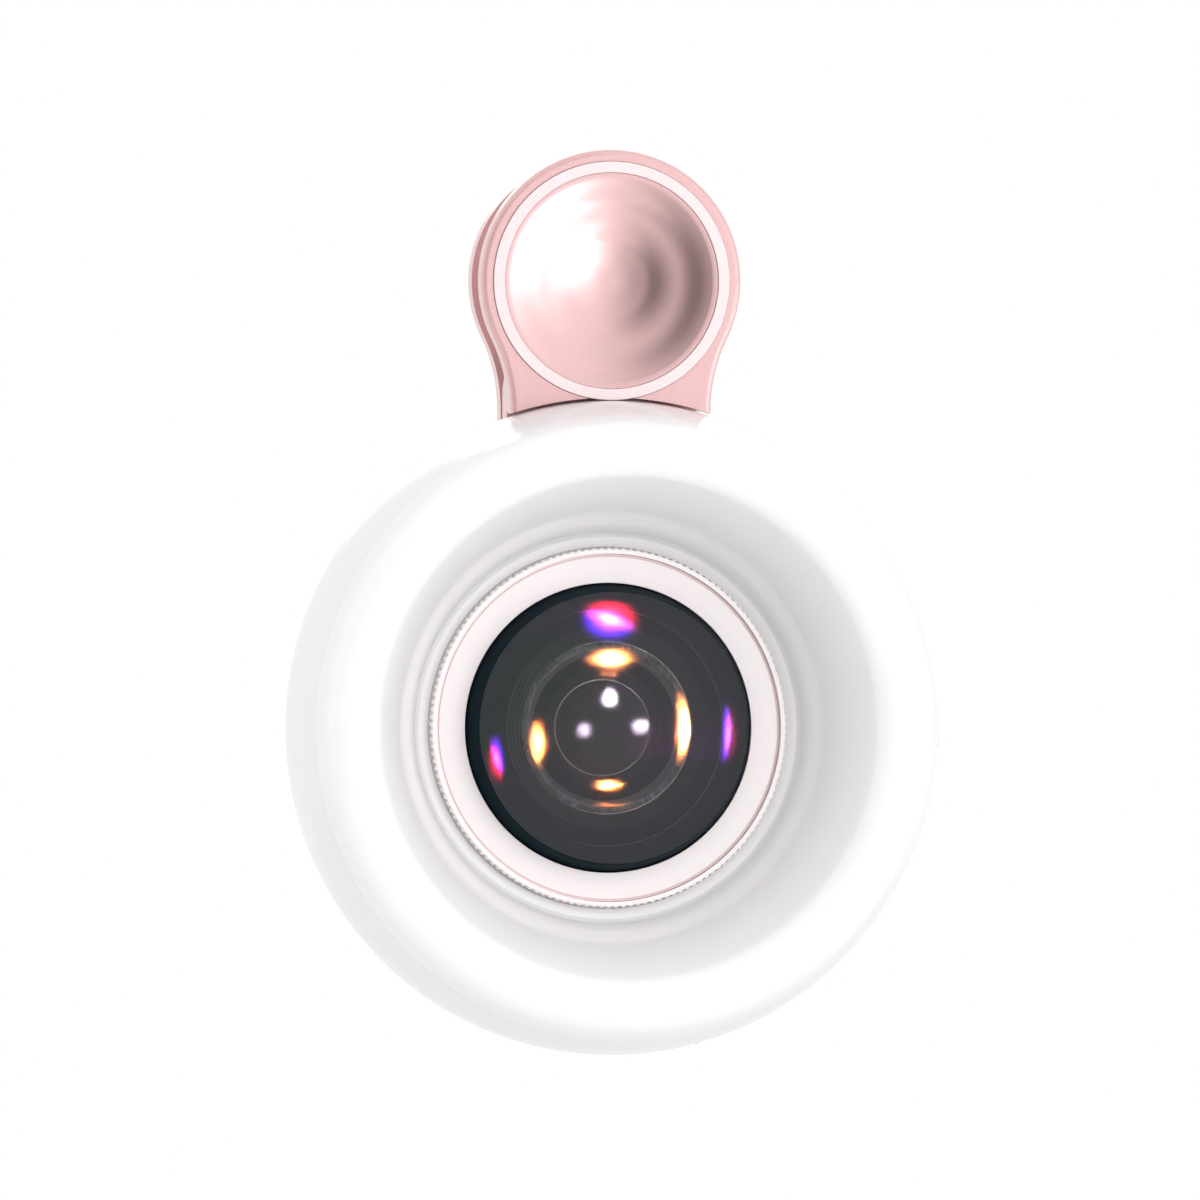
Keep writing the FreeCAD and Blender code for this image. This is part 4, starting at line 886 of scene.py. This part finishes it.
rib_pitch = (PAD_OUTER - PAD_INNER) / RIBS
rib_corners = []
for rib in range(RIBS):
    outer = PAD_OUTER - rib * rib_pitch
    for share, depth in RIB_PROFILE:
        rib_corners.append((outer - rib_pitch * share, depth))
front_pad = turned(
    "ribbed_front_pad",
    (PAD_INNER, PAD_BACK),
    (PAD_OUTER, PAD_BACK),
    (PAD_OUTER, -RIB_DEPTH),
    *rib_corners[:-2],
    (PAD_INNER, -RIB_DEPTH),
)
soften(front_pad, 0.06 * MM, angle=20)
silicone = skin("rose_silicone", (0.74, 0.52, 0.5), 0.5, 0.15, 0.1, 4000, 8e-6)
front_pad.data.materials.append(silicone)
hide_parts("front_pad")
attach(front_pad, "light_head")
dress("rear_pad", silicone)

# Hinge
# A steel pin through the ears of both arms, a wire spring wound round it whose legs press the
# handles apart, and the four screws that hold the arm to the light.
PIN_PLACE = Vector((0, 2.2, 28)) * MM
WIRE_RADIUS = 0.35 * MM
COIL_RADIUS = 1.75 * MM
COIL_PITCH = 1.2 * MM
COIL_START = math.pi + 0.155
COIL_END = math.pi * 10
LEG_LENGTH = 6.4 * MM
COIL_POINTS = 120

dress("hinge_pin", bright_steel)
dress("arm_screws", bright_steel)
coil_sweep = COIL_END - COIL_START
coil_width = COIL_PITCH * coil_sweep / (2 * math.pi)


def coil_place(turn):
    """A point of the spring's middle line."""
    across = COIL_PITCH * (turn - COIL_START) / (2 * math.pi) - coil_width / 2
    round_pin = Vector((0, math.cos(turn), math.sin(turn))) * COIL_RADIUS
    return PIN_PLACE + round_pin + Vector((across, 0, 0))


def coil_heading(turn):
    """The way that the wire runs there."""
    step = Vector((0, -math.sin(turn), math.cos(turn))) * COIL_RADIUS
    step.x = COIL_PITCH / (2 * math.pi)
    return step.normalized()


turns = [COIL_START + coil_sweep * n / COIL_POINTS for n in range(COIL_POINTS + 1)]
wire_points = [coil_place(COIL_START) - coil_heading(COIL_START) * LEG_LENGTH]
wire_points += [coil_place(turn) for turn in turns]
wire_points.append(coil_place(COIL_END) + coil_heading(COIL_END) * LEG_LENGTH)
wire = bpy.data.curves.new("spring_wire", "CURVE")
wire.dimensions = "3D"
line = wire.splines.new("POLY")
line.points.add(len(wire_points) - 1)
for point, place in zip(line.points, wire_points):
    point.co = (*place, 1)
wire.bevel_depth = WIRE_RADIUS
wire.bevel_resolution = 4
wire.use_fill_caps = True
spring = bpy.data.objects.new("wire_spring", wire)
bpy.context.scene.collection.objects.link(spring)
bpy.ops.object.select_all(action="DESELECT")
spring.select_set(True)
bpy.context.view_layer.objects.active = spring
bpy.ops.object.convert(target="MESH")
bpy.ops.object.shade_smooth_by_angle(angle=math.radians(40))
spring.data.materials.append(bright_steel)
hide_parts("torsion_spring")
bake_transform(spring)

# Lamps that the glass throws back
# Small studio lamps round the camera. Each is thrown back by one glass only, at the place on
# its dome that the table gives, seen from the camera: right of and above the lens axis, and
# the size of the glint, all in millimetres.
GLINTS = (
    # name, glass, dome's rim and apex, right, up, width, height, power
    ("front_top", front_glass, GLASS_EDGE, GLASS_APEX, 1.6, 11.3, 9.0, 7.6, 190.0),
    ("front_right", front_glass, GLASS_EDGE, GLASS_APEX, 14.1, -0.8, 3.4, 9.4, 70.0),
    ("front_left", front_glass, GLASS_EDGE, GLASS_APEX, -10.2, -3.2, 2.8, 8.0, 28.0),
    ("rear_top", rear_glass, REAR_RIM, REAR_APEX, 1.8, 7.0, 8.0, 4.0, 560.0),
    ("rear_second", rear_glass, REAR_RIM, REAR_APEX, 1.6, 5.2, 4.4, 1.0, 3.0),
    ("rear_right", rear_glass, REAR_RIM, REAR_APEX, 9.5, -0.2, 4.4, 11.0, 1600.0),
    ("rear_left", rear_glass, REAR_RIM, REAR_APEX, -5.7, -1.6, 3.4, 7.6, 380.0),
    ("rear_low", rear_glass, REAR_RIM, REAR_APEX, 1.5, -5.75, 5.0, 1.3, 260.0),
    ("rear_bottom", rear_glass, REAR_RIM, REAR_APEX, 1.6, -7.9, 9.0, 2.4, 5.0),
    ("base_top", base_glass, BASE_STEP, BASE_APEX, 1.6, 3.1, 3.6, 3.8, 260.0),
    ("base_right", base_glass, BASE_STEP, BASE_APEX, 4.8, 0.1, 3.8, 3.0, 130.0),
    ("base_left", base_glass, BASE_STEP, BASE_APEX, -1.1, -0.3, 3.4, 3.0, 70.0),
)
GLINT_DISTANCE = 0.2
GLINT_FALL = 5
SPLIT_STOPS = (
    (0, (1, 0.12, 0.05)),
    (0.3, (1, 0.75, 0.7)),
    (0.42, (1, 1, 1)),
    (0.6, (1, 1, 1)),
    (0.72, (0.7, 0.7, 1)),
    (1, (0.12, 0.2, 1)),
)


def linked(name, member):
    """A collection of one object, for light linking."""
    group = bpy.data.collections.new(name)
    group.objects.link(member)
    return group


def glint_way(rim, apex, right, up):
    """A dome's radius, its point at this place in the picture and the way it throws back."""
    rise = rim[1] - apex
    curve = (rim[0] ** 2 + rise**2) / (2 * rise)
    middle = Vector((0, apex + curve, 0))
    across = (right - middle.dot(view_right)) / curve
    along = up / curve
    facing = view_right * across + view_up * along
    facing += view_back * math.sqrt(1 - across**2 - along**2)
    return curve, (middle + facing * curve) * MM, 2 * facing.dot(view_back) * facing - view_back


def fade_lamp(tree, spot):
    """Lets a lamp's light fall off from its middle to its edge."""
    off = tree.nodes.new("ShaderNodeVectorMath")
    off.operation = "DISTANCE"
    off.inputs[1].default_value = (0.5, 0.5, 0)
    tree.links.new(spot["Parametric"], off.inputs[0])
    fade = ranged(tree, off.outputs["Value"], 0.5, 0)
    core = maths(tree, "POWER", fade, GLINT_FALL)
    tree.links.new(core, tree.nodes["Emission"].inputs["Strength"])


def split_lamp(tree, spot, middle, reach):
    """Splits a lamp's light as a lens does: red on the outer side, blue on the inner side."""
    side = tree.nodes.new("ShaderNodeVectorMath")
    side.operation = "DOT_PRODUCT"
    side.inputs[1].default_value = view_back
    tree.links.new(spot["Position"], side.inputs[0])
    split = ranged(tree, side.outputs["Value"], middle - reach, middle + reach)
    tree.links.new(ramped(tree, split, SPLIT_STOPS), tree.nodes["Emission"].inputs["Color"])


table_only = linked("table_only", floor)
for name, piece, rim, apex, right, up, width, height, power in GLINTS:
    curve, place, way = glint_way(rim, apex, right, up)
    spread = 2 * GLINT_DISTANCE / curve
    lamp = add_lamp(name, way, GLINT_DISTANCE, width * spread, height * spread, power)
    lamp.location = place + way * GLINT_DISTANCE
    lamp.data.shape = "ELLIPSE"
    lamp.light_linking.receiver_collection = linked(name + "_glass", piece)
    lamp.light_linking.blocker_collection = table_only
    lamp.visible_diffuse = False
    lamp.visible_camera = False
    lamp.data.use_nodes = True
    tree = lamp.data.node_tree
    spot = tree.nodes.new("ShaderNodeNewGeometry").outputs
    fade_lamp(tree, spot)
    if piece is front_glass:
        reach = GLINT_DISTANCE * spread * math.sqrt(1 - way.dot(view_back) ** 2) / 2
        reach *= max(abs(right) * width, abs(up) * height) / math.hypot(right, up)
        split_lamp(tree, spot, lamp.location.dot(view_back), reach)
